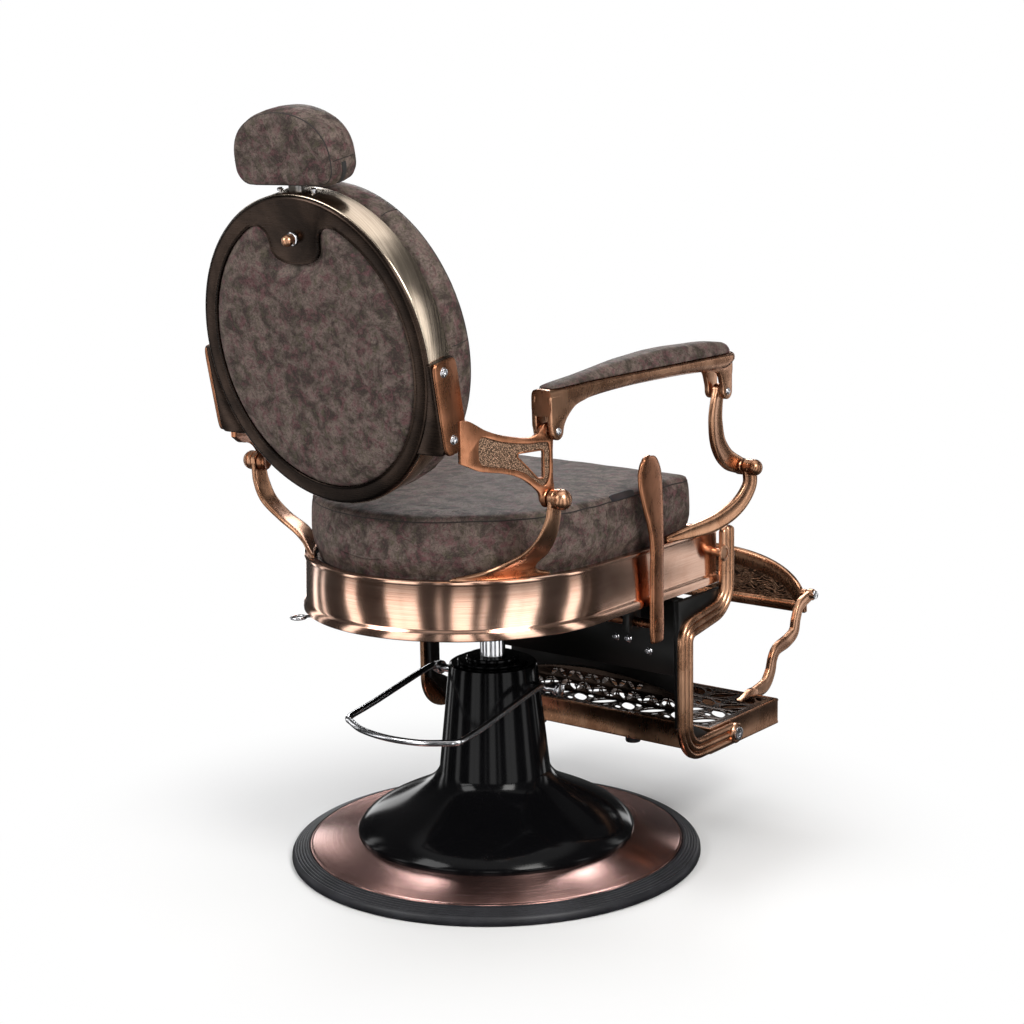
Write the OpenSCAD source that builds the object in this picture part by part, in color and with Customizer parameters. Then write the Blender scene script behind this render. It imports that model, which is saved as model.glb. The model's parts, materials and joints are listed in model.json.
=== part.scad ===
// Hydraulic barber chair with a round back, scrolled arms and a swinging leg rest.
// The sitter faces -Y, +Z is up, and the origin is on the floor under the column.
// "right" is the sitter's right hand, at -X.

/* [Base] */
// Radius of the rubber ring round the floor plate
base_r = 360; // [330:1:400]
// Height of the rubber ring
ring_h = 22; // [16:1:28]
// Width of the rubber ring beyond the copper cover
ring_w = 32; // [24:1:44]
// Thickness of the steel floor plate
floor_plate_t = 13; // [8:1:14]
// Rise of the copper cover from its rim to the skirt
cover_rise = 16; // [10:1:24]
// Thickness of the copper cover
cover_t = 3; // [2:0.5:4]
// Radius of the skirt at the foot of the column
skirt_r = 244; // [220:1:265]
// Radius of the column where the skirt runs out
column_foot_r = 97; // [88:1:104]
// Radius of the column at its top
column_top_r = 77; // [70:1:84]
// Height at which the skirt runs into the column
skirt_h = 152; // [135:1:170]
// Height of the top of the column
column_h = 344; // [330:1:352]
// Wall of the column casting
column_wall = 4; // [3:0.5:6]

/* [Pump] */
// Radius of the lifting rod
rod_r = 22; // [18:1:26]
// Outer radius of the pump cylinder
cylinder_r = 46; // [40:1:52]
// Running clearance of turning and sliding fits
fit_gap = 0.05; // [0.02:0.01:0.09]
// Distance of the pedal pivots below the top of the column
pedal_below = 34; // [28:1:42]
// Distance of the pedal pivots behind the column's axis
pedal_y = -10; // [-20:1:0]
// Radius of the pedal pivots
pedal_pin_r = 7; // [5:0.5:9]
// Radius of the rod that the pedal is bent from
pedal_rod_r = 5.5; // [4:0.5:7]
// Half the width between the two arms of the pedal
pedal_half_w = 122; // [112:1:135]
// Length of the pedal from its pivots to its corners
pedal_reach = 262; // [220:1:275]
// How far the middle of the foot bar bows out beyond its corners
pedal_bow = 30; // [10:1:34]
// Drop of the foot bar below the pivots
pedal_drop = 30; // [20:1:36]

/* [Seat] */
// Half the width of the seat frame
seat_r = 275; // [262:1:276]
// Distance of the centre of the round back of the seat behind the column
seat_centre_y = 63; // [50:1:75]
// Front of the seat frame, measured from the column
seat_front = 292; // [286:1:305]
// Height of the lower edge of the seat frame above the floor
seat_low_z = 463; // [455:1:475]
// Height of the copper band round the seat
band_h = 98; // [92:1:104]
// Wall of the band
band_wall = 4; // [3:0.5:5]
// How far the lip at the foot of the band stands out
lip_out = 5; // [3:0.5:6]
// Height of that lip
lip_h = 20; // [14:1:28]
// Thickness of the steel plate under the seat
seat_plate_t = 7; // [5:1:9]
// Height of the seat cushion above the band
cushion_rise = 106; // [95:1:110]
// How far the cushion's side is set in from the band
cushion_inset = 13; // [11:1:18]
// Distance of the cushion's front behind the front of the band
cushion_setback = 45; // [30:1:60]

/* [Back] */
// Half the width of the round back frame
back_rx = 229; // [220:1:234]
// Half the height of the round back frame
back_rz = 247; // [240:1:252]
// Lean of the back from upright, in degrees
back_tilt = 11; // [9:0.5:12]
// Distance of the back frame's centre behind the column
back_y = 427; // [422:1:436]
// Height of the back frame's centre
back_z = 926; // [922:1:934]
// Depth of the metal band round the back
back_depth = 54; // [48:1:58]
// Wall of that band
back_wall = 4; // [3:0.5:5]
// Width of the flat rim round the rear panel
rim_w = 30; // [24:1:36]
// Half the width across the flat ears at the sides of the back frame
ear_x = 234; // [234:1:238]
// Length of each ear
ear_len = 147; // [130:1:155]
// Thickness of the back cushion in front of the band
back_pad_t = 58; // [45:1:62]
// Half the width of the tongue that holds the head rest
tongue_w = 47; // [38:1:54]
// Depth of the tongue below the rim
tongue_h = 72; // [50:1:78]
// Distance of the head rest's clamp below the rim
knob_drop = 37.2; // [32:0.2:46]

/* [Head rest] */
// Half the width of the head rest
head_rx = 102; // [90:1:118]
// Height of the head rest
head_h = 114; // [100:1:130]
// Thickness of the head rest
head_t = 70; // [60:1:80]
// Gap between the back frame and the head rest
head_gap = 13; // [11:1:20]
// Width of the flat post
post_w = 25; // [20:1:30]
// Thickness of the flat post
post_t = 8; // [6:1:10]

/* [Arms] */
// Distance of each arm's middle plane outside the seat frame
arm_out = 27; // [25:1:33]
// Distance of the back's pivots behind the column
recline_y = 236; // [232:1:240]
// Height of the back's pivots
recline_z = 702; // [698:1:706]
// Height of the rear arm pivots above the back's pivots
arm_rise = 104; // [98:1:108]
// Height of the arms' metal top above the recline pivot
arm_height = 173; // [168:1:178]
// Thickness of the metal arm
arm_t = 27; // [22:1:30]
// Width of the arm over most of its length
arm_w = 58; // [50:1:62]
// Length of the arm
arm_len = 519; // [505:1:530]
// Height of the arm pad's crown above the metal arm
arm_pad_h = 25; // [18:1:32]
// Radius of the pins in the arm linkage
link_pin_r = 5; // [4:0.5:6]
// Radius of the ball caps on the pivots
ball_r = 18; // [15:1:20]

/* [Lever] */
// Distance of the lever shaft's outer bearing block inside the seat
lock_gap = 30; // [24:1:40]
// Distance of the lever's shaft in front of the column
lever_y = 80; // [70:1:90]
// Height of the lever's shaft
lever_z = 432; // [428:1:438]
// Height of the top of the lever
lever_top_z = 722; // [700:1:735]
// Thickness of the lever
lever_t = 9; // [7:1:10]
// Radius of the lever's shaft
lever_shaft_r = 8; // [6:0.5:10]

/* [Leg rest] */
// Distance of the leg rest's pivots in front of the column
leg_y = 278; // [274:1:280]
// Height of the leg rest's pivots
leg_z = 520; // [516:1:526]
// Radius of the leg rest's pivots
leg_pin_r = 7; // [6:0.5:8]
// Gap between the lip of the seat frame and each side rail
rail_gap = 5; // [4:0.5:10]
// Thickness of each side rail
rail_t = 12; // [9:1:14]
// Width of each side rail
rail_w = 37; // [32:1:40]
// Height of the foot tray's underside above the floor
tray_low_z = 158; // [150:1:165]
// Height of the tray's frame
tray_h = 47; // [40:1:52]
// Rear edge of the tray, in front of the column
tray_rear = 253; // [245:1:262]
// Depth of the tray from rear to front
tray_depth = 235; // [220:1:250]
// Wall of the tray's frame
tray_wall = 6; // [4:1:8]
// Distance of the outer rubber feet inside the tray's ends
buffer_in = 35; // [25:1:60]
// Height of the black panel's lower edge above the tray
panel_rise = 118; // [110:1:126]
// Distance of the black panel's ends inside the side rails
panel_gap = 17; // [13:1:30]
// Distance of the pierced heel plate in front of the column
heel_y = 306; // [300:1:320]
// Height of the pierced heel plate above the tray, at its middle
heel_h = 52; // [44:1:58]
// Height of the heel board's top edge above the tray
heel_board_h = 88; // [70:1:92]
// Thickness of the heel plate and of the heel board
heel_t = 4; // [3:0.5:6]

/* [Foot board] */
// Distance of the foot board's pivots in front of the column
board_y = 685; // [670:1:700]
// Height of the foot board's pivots
board_z = 356; // [346:1:366]
// Half the width of the foot board
board_half_w = 226; // [210:1:227]
// Height of the foot board above its pivots
board_up = 75; // [65:1:85]
// Depth of the foot board below its pivots
board_down = 38; // [30:1:46]
// Thickness of the foot board's casting
board_t = 12; // [9:1:15]

/* [Hidden] */

COPPER = [0.62, 0.37, 0.25];
BRONZE = [0.25, 0.20, 0.17];
LEATHER = [0.33, 0.28, 0.26];
BLACK = [0.03, 0.03, 0.03];
STEEL = [0.55, 0.55, 0.56];
CHROME = [0.80, 0.80, 0.82];
RUBBER = [0.08, 0.08, 0.09];
WOOD = [0.62, 0.48, 0.33];

// Facets of exact round solids, and of the small curves that are worked out as points
$fn = 96;
CURVE_STEPS = 6;
// Air between pieces that move past each other, and between pieces that only sit together
MOVE_GAP = 2;
SEAT_GAP = 0.5;

cover_r = base_r - ring_w;
pedal_z = column_h - pedal_below;
arm_x = seat_r + arm_out;
rail_x = seat_r + lip_out + rail_gap;
panel_half_w = rail_x - panel_gap;
cover_edge_z = ring_h + 3.5;
skirt_z = cover_edge_z + cover_rise;
band_top_z = seat_low_z + band_h;
cushion_top_z = band_top_z + cushion_rise;
head_hub_z = seat_low_z - 33;
recline_tilt_y = recline_y;
arm_top_z = recline_z + arm_height;
arm_rear_pivot = [recline_y - 5, recline_z + arm_rise];
arm_rear = arm_rear_pivot[0] + 19;
arm_front = arm_rear - arm_len;
arm_low_z = arm_top_z - arm_t;
arm_front_pivot = [arm_front + 19, arm_low_z - 39];
link_foot = [arm_front_pivot[0] - 74, arm_front_pivot[1] - 142];
clevis_w = 39;
clevis_ear = 9;
bracket_t = 9;
scroll_t = 10;
scroll_x = arm_x + bracket_t / 2 + 9.5;
tray_top_z = tray_low_z + tray_h;
tray_front = tray_rear + tray_depth;
tray_half_w = rail_x;
panel_y = leg_y - 118;
post_v = -back_depth / 2;
head_pivot_u = back_rz + head_gap + 14;
board_arm_x = board_half_w + MOVE_GAP + 3;

// ---------- curves and shapes that several pieces use ----------

// A point on a smooth curve through p1 and p2, at t from 0 to 1
function curve_point(p0, p1, p2, p3, t) =
    0.5 * (2 * p1 + (p2 - p0) * t + (2 * p0 - 5 * p1 + 4 * p2 - p3) * t * t
    + (3 * p1 - p0 - 3 * p2 + p3) * t * t * t);

// A smooth curve through every point of p
function smooth(p, n = CURVE_STEPS) = concat(
    [for (i = [0:len(p) - 2]) for (k = [0:n - 1])
        curve_point(p[max(i - 1, 0)], p[i], p[i + 1], p[min(i + 2, len(p) - 1)], k / n)],
    [p[len(p) - 1]]);

function unit(v) = v / norm(v);
function heading(p, i) = unit(p[min(i + 1, len(p) - 1)] - p[max(i - 1, 0)]);
function backwards(p) = [for (i = [len(p) - 1:-1:0]) p[i]];

// The points to one side of a curve; half widths go from w0 to w1 along it
function beside(p, w0, w1, s) = [for (i = [0:len(p) - 1])
    let (d = heading(p, i), w = w0 + (w1 - w0) * i / (len(p) - 1)) p[i] + s * w * [-d[1], d[0]]];

// A band of changing width along a flat curve
module ribbon(p, w0, w1) polygon(concat(beside(p, w0, w1, 1), backwards(beside(p, w0, w1, -1))));

// Points of an arc about c
function arc(c, r, a0, a1, n) = [for (i = [0:n])
    let (a = a0 + (a1 - a0) * i / n) c + r * [cos(a), sin(a)]];

// A line through p whose inner corners are arcs of the radii in radii
function rounded(p, radii, n = 6) = concat([p[0]],
    [for (i = [1:len(p) - 2]) let (
        a = unit(p[i - 1] - p[i]), b = unit(p[i + 1] - p[i]), half = acos(a * b) / 2,
        r = radii[i - 1], c = p[i] + unit(a + b) * r / sin(half), side = a[0] * b[1] - a[1] * b[0] > 0 ? -1 : 1,
        start = p[i] + a * r / tan(half) - c, a0 = atan2(start[1], start[0]))
        for (k = [0:n]) let (t = a0 + side * (180 - 2 * half) * k / n) c + r * [cos(t), sin(t)]],
    [p[len(p) - 1]]);

// A round rod swept along points in space
module swept_rod(p, r, sides = 10) {
    n = len(p);
    rings = [for (i = [0:n - 1]) let (
        d = heading(p, i),
        u = unit(cross(d, abs(d[2]) > 0.9 ? [0, 1, 0] : [0, 0, 1])),
        v = cross(d, u))
        for (k = [0:sides - 1]) p[i] + r * (cos(360 * k / sides) * u + sin(360 * k / sides) * v)];
    walls = [for (i = [0:n - 2]) for (k = [0:sides - 1]) let (
        a = i * sides + k, b = i * sides + (k + 1) % sides)
        each [[a, a + sides, b], [b, a + sides, b + sides]]];
    last = (n - 1) * sides;
    ends = concat([for (k = [1:sides - 2]) [0, k, k + 1]],
        [for (k = [1:sides - 2]) [last, last + k + 1, last + k]]);
    polyhedron(rings, concat(walls, ends));
}

// A closed cushion over a flat outline: each level is [inset, scale, height], from the bottom up.
// It thins out by the share thin towards y = reach.
module cushion_form(outline, levels, thin = 0, reach = 1) {
    n = len(outline);
    m = len(levels);
    rings = [for (l = levels) for (p = outline)
        let (q = p * (1 - l[0] / norm(p)) * l[1])
            [q[0], q[1], l[2] * (1 - thin * max(0, q[1] / reach))]];
    tips = [[0, 0, levels[0][2]], [0, 0, levels[m - 1][2]]];
    walls = [for (j = [0:m - 2]) for (k = [0:n - 1]) let (
        a = j * n + k, b = j * n + (k + 1) % n) each [[a, a + n, b], [b, a + n, b + n]]];
    ends = [for (k = [0:n - 1]) let (b = (k + 1) % n)
        each [[k, b, n * m], [(m - 1) * n + b, (m - 1) * n + k, n * m + 1]]];
    polyhedron(concat(rings, tips), concat(walls, ends));
}

// Side profiles are drawn in Y and Z; this stands one up, t thick from x towards +X
module upright(x, t) translate([x, 0, 0]) rotate([90, 0, 90]) linear_extrude(t) children();

// A round bar along X from x0 to x1, centred on y and z
module cross_bar(x0, x1, y, z, r) translate([x0, y, z]) rotate([0, 90, 0]) cylinder(h = x1 - x0, r = r);

// Pieces are drawn on the sitter's right; this puts a copy on the other side
module on_side(s) mirror([s > 0 ? 1 : 0, 0, 0]) children();
module both_sides() for (s = [-1, 1]) on_side(s) children();

// The back's own frame: X across, Y out of its rear face, Z up along its lean
module in_back() translate([0, back_y, back_z]) rotate([-back_tilt, 0, 0]) children();
// Flat outlines of the back stood up in that frame, from v0 to v1 along its Y
module back_slab(v0, v1) translate([0, v1, 0]) rotate([90, 0, 0]) linear_extrude(v1 - v0) children();

// ---------- base and pump ----------

// The ring has an inner ledge that carries the cover
LEDGE_W = 14;
LEDGE_Z = floor_plate_t + 4;
module base_ring() color(RUBBER) rotate_extrude() polygon([
    [cover_r - LEDGE_W, 0], [base_r - 3, 0], [base_r, 3], [base_r, ring_h / 2], [base_r - 4, ring_h * 0.72],
    [base_r - 10, ring_h * 0.8], [base_r - 11, ring_h * 0.92], [base_r - 19, ring_h],
    [cover_r + 3, ring_h + 2], [cover_r + 0.5, ring_h], [cover_r + 0.5, LEDGE_Z],
    [cover_r - LEDGE_W, LEDGE_Z]]);

module floor_plate() color(STEEL) cylinder(h = floor_plate_t, r = cover_r - LEDGE_W);

// The cover's rim is rolled down to the plate and its top rises to the skirt
module base_cover() color(COPPER) rotate_extrude() polygon([
    [cover_r, LEDGE_Z], [cover_r, cover_edge_z - 3], [cover_r - 4, cover_edge_z],
    [skirt_r + 1, skirt_z], [skirt_r - 30, skirt_z], [skirt_r - 30, skirt_z - cover_t],
    [skirt_r, skirt_z - cover_t], [cover_r - 5, cover_edge_z - cover_t],
    [cover_r - cover_t, cover_edge_z - 5], [cover_r - cover_t, LEDGE_Z]]);

// Half outline of the skirt and column, drawn in by t
function column_outline(t) = concat(
    [[skirt_r - t, skirt_z], [skirt_r - t, skirt_z + 8 - t / 2]],
    [for (i = [0:16]) let (s = i / 16, a = [skirt_r - 4, skirt_z + 12], b = [skirt_r - 34, skirt_h - 55],
        c = [column_foot_r + 18, skirt_h - 45], d = [column_foot_r, skirt_h + 2])
        (1 - s) ^ 3 * a + 3 * (1 - s) ^ 2 * s * b + 3 * (1 - s) * s * s * c + s ^ 3 * d - [t, t * (1 - s)]],
    [[column_top_r - t, column_h - 4 - t], [column_top_r - 3 - t, column_h - t]]);

module column_cover() color(BLACK) difference() {
    rotate_extrude() polygon(concat([[0, skirt_z]], column_outline(0), [[0, column_h]]));
    rotate_extrude() polygon(concat([[0, skirt_z - 1], [skirt_r - column_wall, skirt_z - 1]],
        column_outline(column_wall), [[0, column_h - column_wall]]));
    translate([0, 0, column_h - column_wall - 2]) cylinder(h = column_wall + 4, r = cylinder_r + 1);
    both_sides() cross_bar(-column_foot_r, -cylinder_r, pedal_y, pedal_z, pedal_pin_r + 4);
}

module column_collar() color(CHROME) difference() {
    translate([0, 0, column_h]) union() {
        cylinder(h = 5, r = cylinder_r + 16);
        cylinder(h = 12, r = cylinder_r);
    }
    translate([0, 0, column_h - 1]) cylinder(h = 15, r = rod_r + fit_gap);
}

module pump_cylinder() color(STEEL) difference() {
    union() {
        translate([0, 0, floor_plate_t]) cylinder(h = column_h - floor_plate_t, r = cylinder_r);
        translate([0, 0, floor_plate_t]) cylinder(h = 12, r = cylinder_r + 60);
        cross_bar(-cylinder_r - 14, cylinder_r + 14, pedal_y, pedal_z, pedal_pin_r + 5);
    }
    translate([0, 0, floor_plate_t + 30]) cylinder(h = column_h, r = rod_r + fit_gap);
    both_sides() cross_bar(-cylinder_r - 20, -rod_r - 12, pedal_y, pedal_z, pedal_pin_r);
}

module pedal_pivots() color(CHROME) both_sides() {
    cross_bar(-pedal_half_w - 12, -rod_r - 13, pedal_y, pedal_z, pedal_pin_r);
    cross_bar(-pedal_half_w - 17, -pedal_half_w - 12, pedal_y, pedal_z, pedal_pin_r + 3);
}

// The pedal's rod: along one arm, round the corner, across the bowed foot bar and back
PEDAL_BEND = 20;
function pedal_half() = let (
    y1 = pedal_y + pedal_reach, z1 = pedal_z - pedal_drop, w = pedal_half_w)
    smooth([[-w - 6, pedal_y + 9, pedal_z + 2], [-w, pedal_y + 24, pedal_z + 7],
        [-w + 2, pedal_y + 46, pedal_z + 10], [-w, y1 - PEDAL_BEND - 60, z1 + 12],
        [-w, y1 - PEDAL_BEND, z1 + 2], [-w + 5, y1 - 5, z1], [-w + PEDAL_BEND, y1 + 4, z1 - 1],
        [-w / 2, y1 + pedal_bow * 0.75, z1 - 3], [0, y1 + pedal_bow, z1 - 4]], 4);

module pump_pedal() color(CHROME) {
    half = pedal_half();
    other = [for (i = [len(half) - 2:-1:0]) [-half[i][0], half[i][1], half[i][2]]];
    difference() {
        union() {
            swept_rod(concat(half, other), pedal_rod_r);
            both_sides() cross_bar(-pedal_half_w - 11.7, -pedal_half_w - 1, pedal_y, pedal_z, pedal_pin_r + 5);
        }
        cross_bar(-pedal_half_w - 20, pedal_half_w + 20, pedal_y, pedal_z, pedal_pin_r + fit_gap);
    }
}

module lifting_rod() color(CHROME)
    translate([0, 0, floor_plate_t + 60]) cylinder(h = head_hub_z + 20 - floor_plate_t - 60, r = rod_r);

// ---------- seat ----------

// The D-shaped outline of the seat, drawn in by t; front corners are rounded by c
module seat_outline(t = 0, c = 6) {
    r = seat_r - t;
    y0 = -seat_front + t;
    translate([0, seat_centre_y]) circle(r);
    translate([-r, y0 + c]) square([2 * r, seat_centre_y - y0 - c]);
    translate([-r + c, y0]) square([2 * (r - c), c + 1]);
    for (s = [-1, 1]) translate([s * (r - c), y0 + c]) circle(c);
}

module seat_slab(z0, z1, t = 0) translate([0, 0, z0]) linear_extrude(z1 - z0) seat_outline(t);

module swivel_head() color(BLACK) difference() {
    union() {
        translate([0, 0, head_hub_z - 8]) cylinder(h = seat_low_z + 3 - head_hub_z + 8, r = cylinder_r);
        translate([-70, -95, seat_low_z - 7]) cube([140, 190, 10]);
        for (a = [45:90:315]) rotate([0, 0, a])
            translate([cylinder_r - 4, -5, head_hub_z + 4]) cube([48, 10, seat_low_z - head_hub_z - 8]);
    }
    translate([0, 0, head_hub_z - 9]) cylinder(h = 29.5, r = rod_r + fit_gap);
}

// The plate also carries the headed pin that the swivel brake turns on
module seat_plate() color(BLACK) {
    seat_slab(seat_low_z + 3, seat_low_z + 3 + seat_plate_t, band_wall + SEAT_GAP);
    translate([BRAKE_AT[0], BRAKE_AT[1], seat_low_z - 13]) cylinder(h = 18, r = BRAKE_PIN_R);
    translate([BRAKE_AT[0], BRAKE_AT[1], seat_low_z - 16]) cylinder(h = 3, r = BRAKE_PIN_R + 3);
}

module seat_band() color(COPPER) difference() {
    union() {
        seat_slab(seat_low_z, band_top_z);
        seat_slab(seat_low_z, seat_low_z + lip_h - 4, -lip_out);
        seat_slab(seat_low_z, seat_low_z + lip_h, -lip_out / 2);
        seat_slab(band_top_z - 6, band_top_z, -1.5);
    }
    seat_slab(seat_low_z - 1, band_top_z + 1, band_wall);
    both_sides() cross_bar(-rail_x, -seat_r + band_wall + 8, -leg_y, leg_z, leg_pin_r);
}

module seat_board() color(WOOD) seat_slab(band_top_z - 18, band_top_z - 6, band_wall + SEAT_GAP);

// Outline of the seat cushion about the middle of its own length
cushion_side = seat_r - cushion_inset;
cushion_front = -seat_front + cushion_setback;
cushion_mid = (seat_centre_y + cushion_side + cushion_front) / 2;
CUSHION_CORNER = 34;
function cushion_outline() = let (
    y0 = cushion_front - cushion_mid, yc = seat_centre_y - cushion_mid, r = cushion_side,
    k = CUSHION_CORNER)
    concat(arc([0, yc], r, 0, 180, 24),
        [for (i = [1:4]) [-r, yc + (y0 + k - yc) * i / 5]],
        arc([-r + k, y0 + k], k, 180, 270, 4),
        [for (i = [1:5]) [(-r + k) * (1 - i / 3), y0]],
        arc([r - k, y0 + k], k, 270, 360, 4),
        [for (i = [1:4]) [r, y0 + k + (yc - y0 - k) * i / 5]]);

// The sides are drawn in at the foot, the top edge is rounded, and the rear runs down under the back
module seat_cushion() color(LEATHER) difference() {
    h = cushion_rise;
    translate([0, cushion_mid, band_top_z - 5.5]) cushion_form(cushion_outline(), [
        [12, 1, 0], [11, 1, 12], [4, 1, 26], [0, 1, h * 0.4], [-1, 1, h * 0.55], [-0.5, 1, h * 0.75],
        [1.5, 1, h * 0.88], [5, 1, h * 0.96], [10, 1, h], [22, 1, h + 3], [20, 0.8, h + 7],
        [16, 0.55, h + 10], [10, 0.3, h + 11.5]]);
    translate([-seat_r, recline_y + 28, cushion_top_z]) rotate([-50, 0, 0])
        cube([2 * seat_r, 150, 120]);
}

// The lock that the lever frees, and the two blocks that carry its shaft
module recline_lock() color(BLACK) difference() {
    union() {
        for (d = [lock_gap, lock_gap + 95]) translate([d - seat_r, -lever_y - 17, lever_z - 16])
            cube([14, 34, seat_low_z + 3 - lever_z + 16]);
        translate([-136, -lever_y - 25, lever_z - 20]) cube([62, 50, seat_low_z + 3 - lever_z + 20]);
    }
    cross_bar(-rail_x, -74 - 20, -lever_y, lever_z, lever_shaft_r + fit_gap);
}

// The foot of each bracket lies on the band's rim
FOOT_T = 6;

// A flat bar that leaves the rim behind the sitter and curls out and up to the back's pivot.
// It widens to its foot, and its inner edge follows the cushion.
module rear_bracket() {
    bar = smooth([[-scroll_x, recline_z], [-scroll_x + 3, recline_z - 30],
        [-scroll_x + 19, recline_z - 68], [-scroll_x + 52, recline_z - 98],
        [-seat_r + 50, band_top_z + 22], [-seat_r + 76, band_top_z + 4]]);
    y = recline_y;
    outline = concat([[-scroll_x - 10, y + 14], [-scroll_x + 20, y + 14]],
        smooth([[-scroll_x + 50, y + 20], [-scroll_x + 86, y + 26], [-seat_r + 100, y + 34]], 3),
        smooth([[-seat_r + 28, y - 82], [-seat_r + 20, y - 62], [-scroll_x + 50, y - 34],
            [-scroll_x + 25, y - 16]], 3), [[-scroll_x - 10, y - 14]]);
    difference() {
        union() {
            intersection() {
                translate([0, y + 50, 0]) rotate([90, 0, 0]) linear_extrude(150)
                    ribbon(bar, scroll_t / 2, scroll_t / 2);
                translate([0, 0, band_top_z]) linear_extrude(recline_z) polygon(outline);
            }
            cross_bar(-scroll_x - scroll_t / 2, -scroll_x + scroll_t / 2, y, recline_z, 15);
            translate([0, seat_centre_y, band_top_z]) rotate([0, 0, 126])
                rotate_extrude(angle = 34) translate([seat_r - 16, 0]) square([15, FOOT_T]);
        }
        cross_bar(-scroll_x - 20, -scroll_x + 20, y, recline_z, link_pin_r + 1);
        translate([0, seat_centre_y, band_top_z - 1]) cylinder(h = cushion_rise, r = cushion_side + MOVE_GAP);
    }
}
module rear_bracket_right() color(COPPER) on_side(-1) rear_bracket();
module rear_bracket_left() color(COPPER) on_side(1) rear_bracket();

// The front bracket is a scroll that rises from the band's rim to the front link's pivot
FRONT_FOOT_Y = -142;
FRONT_LEAN = atan((scroll_x - seat_r + 7) / (FRONT_FOOT_Y - link_foot[0]));
module front_bracket() {
    z0 = band_top_z;
    y1 = link_foot[0];
    scroll = smooth([[FRONT_FOOT_Y, z0 + 3], [-205, z0 + 8], [y1 + 70, z0 + 20], [y1 + 22, z0 + 44],
        [y1 - 4, z0 + 76], [y1, link_foot[1]]]);
    difference() {
        union() {
            difference() {
                translate([-seat_r + 7, FRONT_FOOT_Y, 0]) rotate([0, 0, -FRONT_LEAN])
                    translate([0, -FRONT_FOOT_Y, 0]) upright(-scroll_t / 2, scroll_t) ribbon(scroll, 5, 11);
                cross_bar(-scroll_x - 25.5, -scroll_x - 5.5, y1, link_foot[1], ball_r);
                cross_bar(-scroll_x + 5, -scroll_x + 25, y1, link_foot[1], ball_r + 30);
                translate([-seat_r - 20, -300, z0 - 20]) cube([60, 200, 20]);
            }
            cross_bar(-scroll_x - scroll_t / 2, -scroll_x + scroll_t / 2, y1, link_foot[1], 14);
            translate([-seat_r + 1, FRONT_FOOT_Y - 94, z0]) cube([11, 98, FOOT_T]);
        }
        cross_bar(-scroll_x - 20, -scroll_x + 20, y1, link_foot[1], link_pin_r + 1);
    }
}
module front_bracket_right() color(COPPER) on_side(-1) front_bracket();
module front_bracket_left() color(COPPER) on_side(1) front_bracket();

// Each pivot is a pin through its bracket with a ball-headed cap outside
module pivot_cap(y, z, x_in, r) {
    x_out = -scroll_x - scroll_t / 2 - SEAT_GAP;
    cross_bar(x_out, x_in, y, z, link_pin_r + 1);
    cross_bar(x_out - 8, x_out, y, z, r - 2);
    translate([x_out - 8, y, z]) intersection() {
        sphere(r - 1);
        translate([-2 * r, -r, -r]) cube(2 * r);
    }
}
module pivot_caps() color(COPPER) both_sides() {
    pivot_cap(recline_y, recline_z, -arm_x + bracket_t / 2 + 3, ball_r);
    pivot_cap(link_foot[0], link_foot[1], -arm_x + 10, ball_r - 2);
}

module leg_pins() color(STEEL) both_sides()
    cross_bar(-rail_x - rail_t + 4, -seat_r + band_wall, -leg_y, leg_z, leg_pin_r);

// ---------- recline lever and swivel brake ----------

module recline_lever() color(COPPER) {
    y = -lever_y;
    h = lever_top_z - lever_z;
    x1 = -seat_r - lip_out - 5;
    foot_z = lever_z - 11;
    blade = [[y - 19, foot_z], [y - 19, lever_z + h * 0.5], [y - 23, lever_z + h * 0.68],
        [y - 15, lever_z + h * 0.86], [y + 4, lever_z + h * 0.98], [y + 26, lever_z + h],
        [y + 48, lever_z + h * 0.985], [y + 58, lever_z + h * 0.93], [y + 54, lever_z + h * 0.82],
        [y + 38, lever_z + h * 0.66], [y + 22, lever_z + h * 0.52], [y + 19, lever_z + h * 0.4],
        [y + 19, foot_z]];
    union() {
        upright(x1 - lever_t, lever_t) polygon(concat(smooth(blade, 4),
            arc([y, foot_z], 19, 0, -180, 8)));
        cross_bar(x1 - 1, -100, y, lever_z, lever_shaft_r);
    }
}

// A thin lever with a loop for the finger, under the rear of the seat
BRAKE_AT = [112, 150];
BRAKE_AIM = 62;
BRAKE_LEN = 145;
BRAKE_PIN_R = 6;
BRAKE_ROD_R = 2.5;
BRAKE_LOOP_R = 12;
module swivel_brake_lever() color(CHROME)
    translate([BRAKE_AT[0], BRAKE_AT[1], seat_low_z - 8]) rotate([0, 0, BRAKE_AIM]) {
        difference() {
            union() {
                cross_bar(8, BRAKE_LEN, 0, 0, BRAKE_ROD_R);
                translate([0, 0, -4]) cylinder(h = 8, r = 14);
            }
            translate([0, 0, -5]) cylinder(h = 10, r = BRAKE_PIN_R + fit_gap);
        }
        translate([BRAKE_LEN + BRAKE_LOOP_R - 1, 0, 0]) rotate_extrude()
            translate([BRAKE_LOOP_R, 0]) circle(BRAKE_ROD_R, $fn = 24);
    }

// ---------- back ----------

function ellipse(rx, rz, n = 72) = [for (i = [0:n - 1]) [rx * cos(360 * i / n), rz * sin(360 * i / n)]];

module back_outline(t = 0) {
    polygon(ellipse(back_rx - t, back_rz - t));
    translate([-ear_x + t, -ear_len + t]) square([2 * (ear_x - t), ear_len - 3 - 2 * t]);
}

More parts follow.
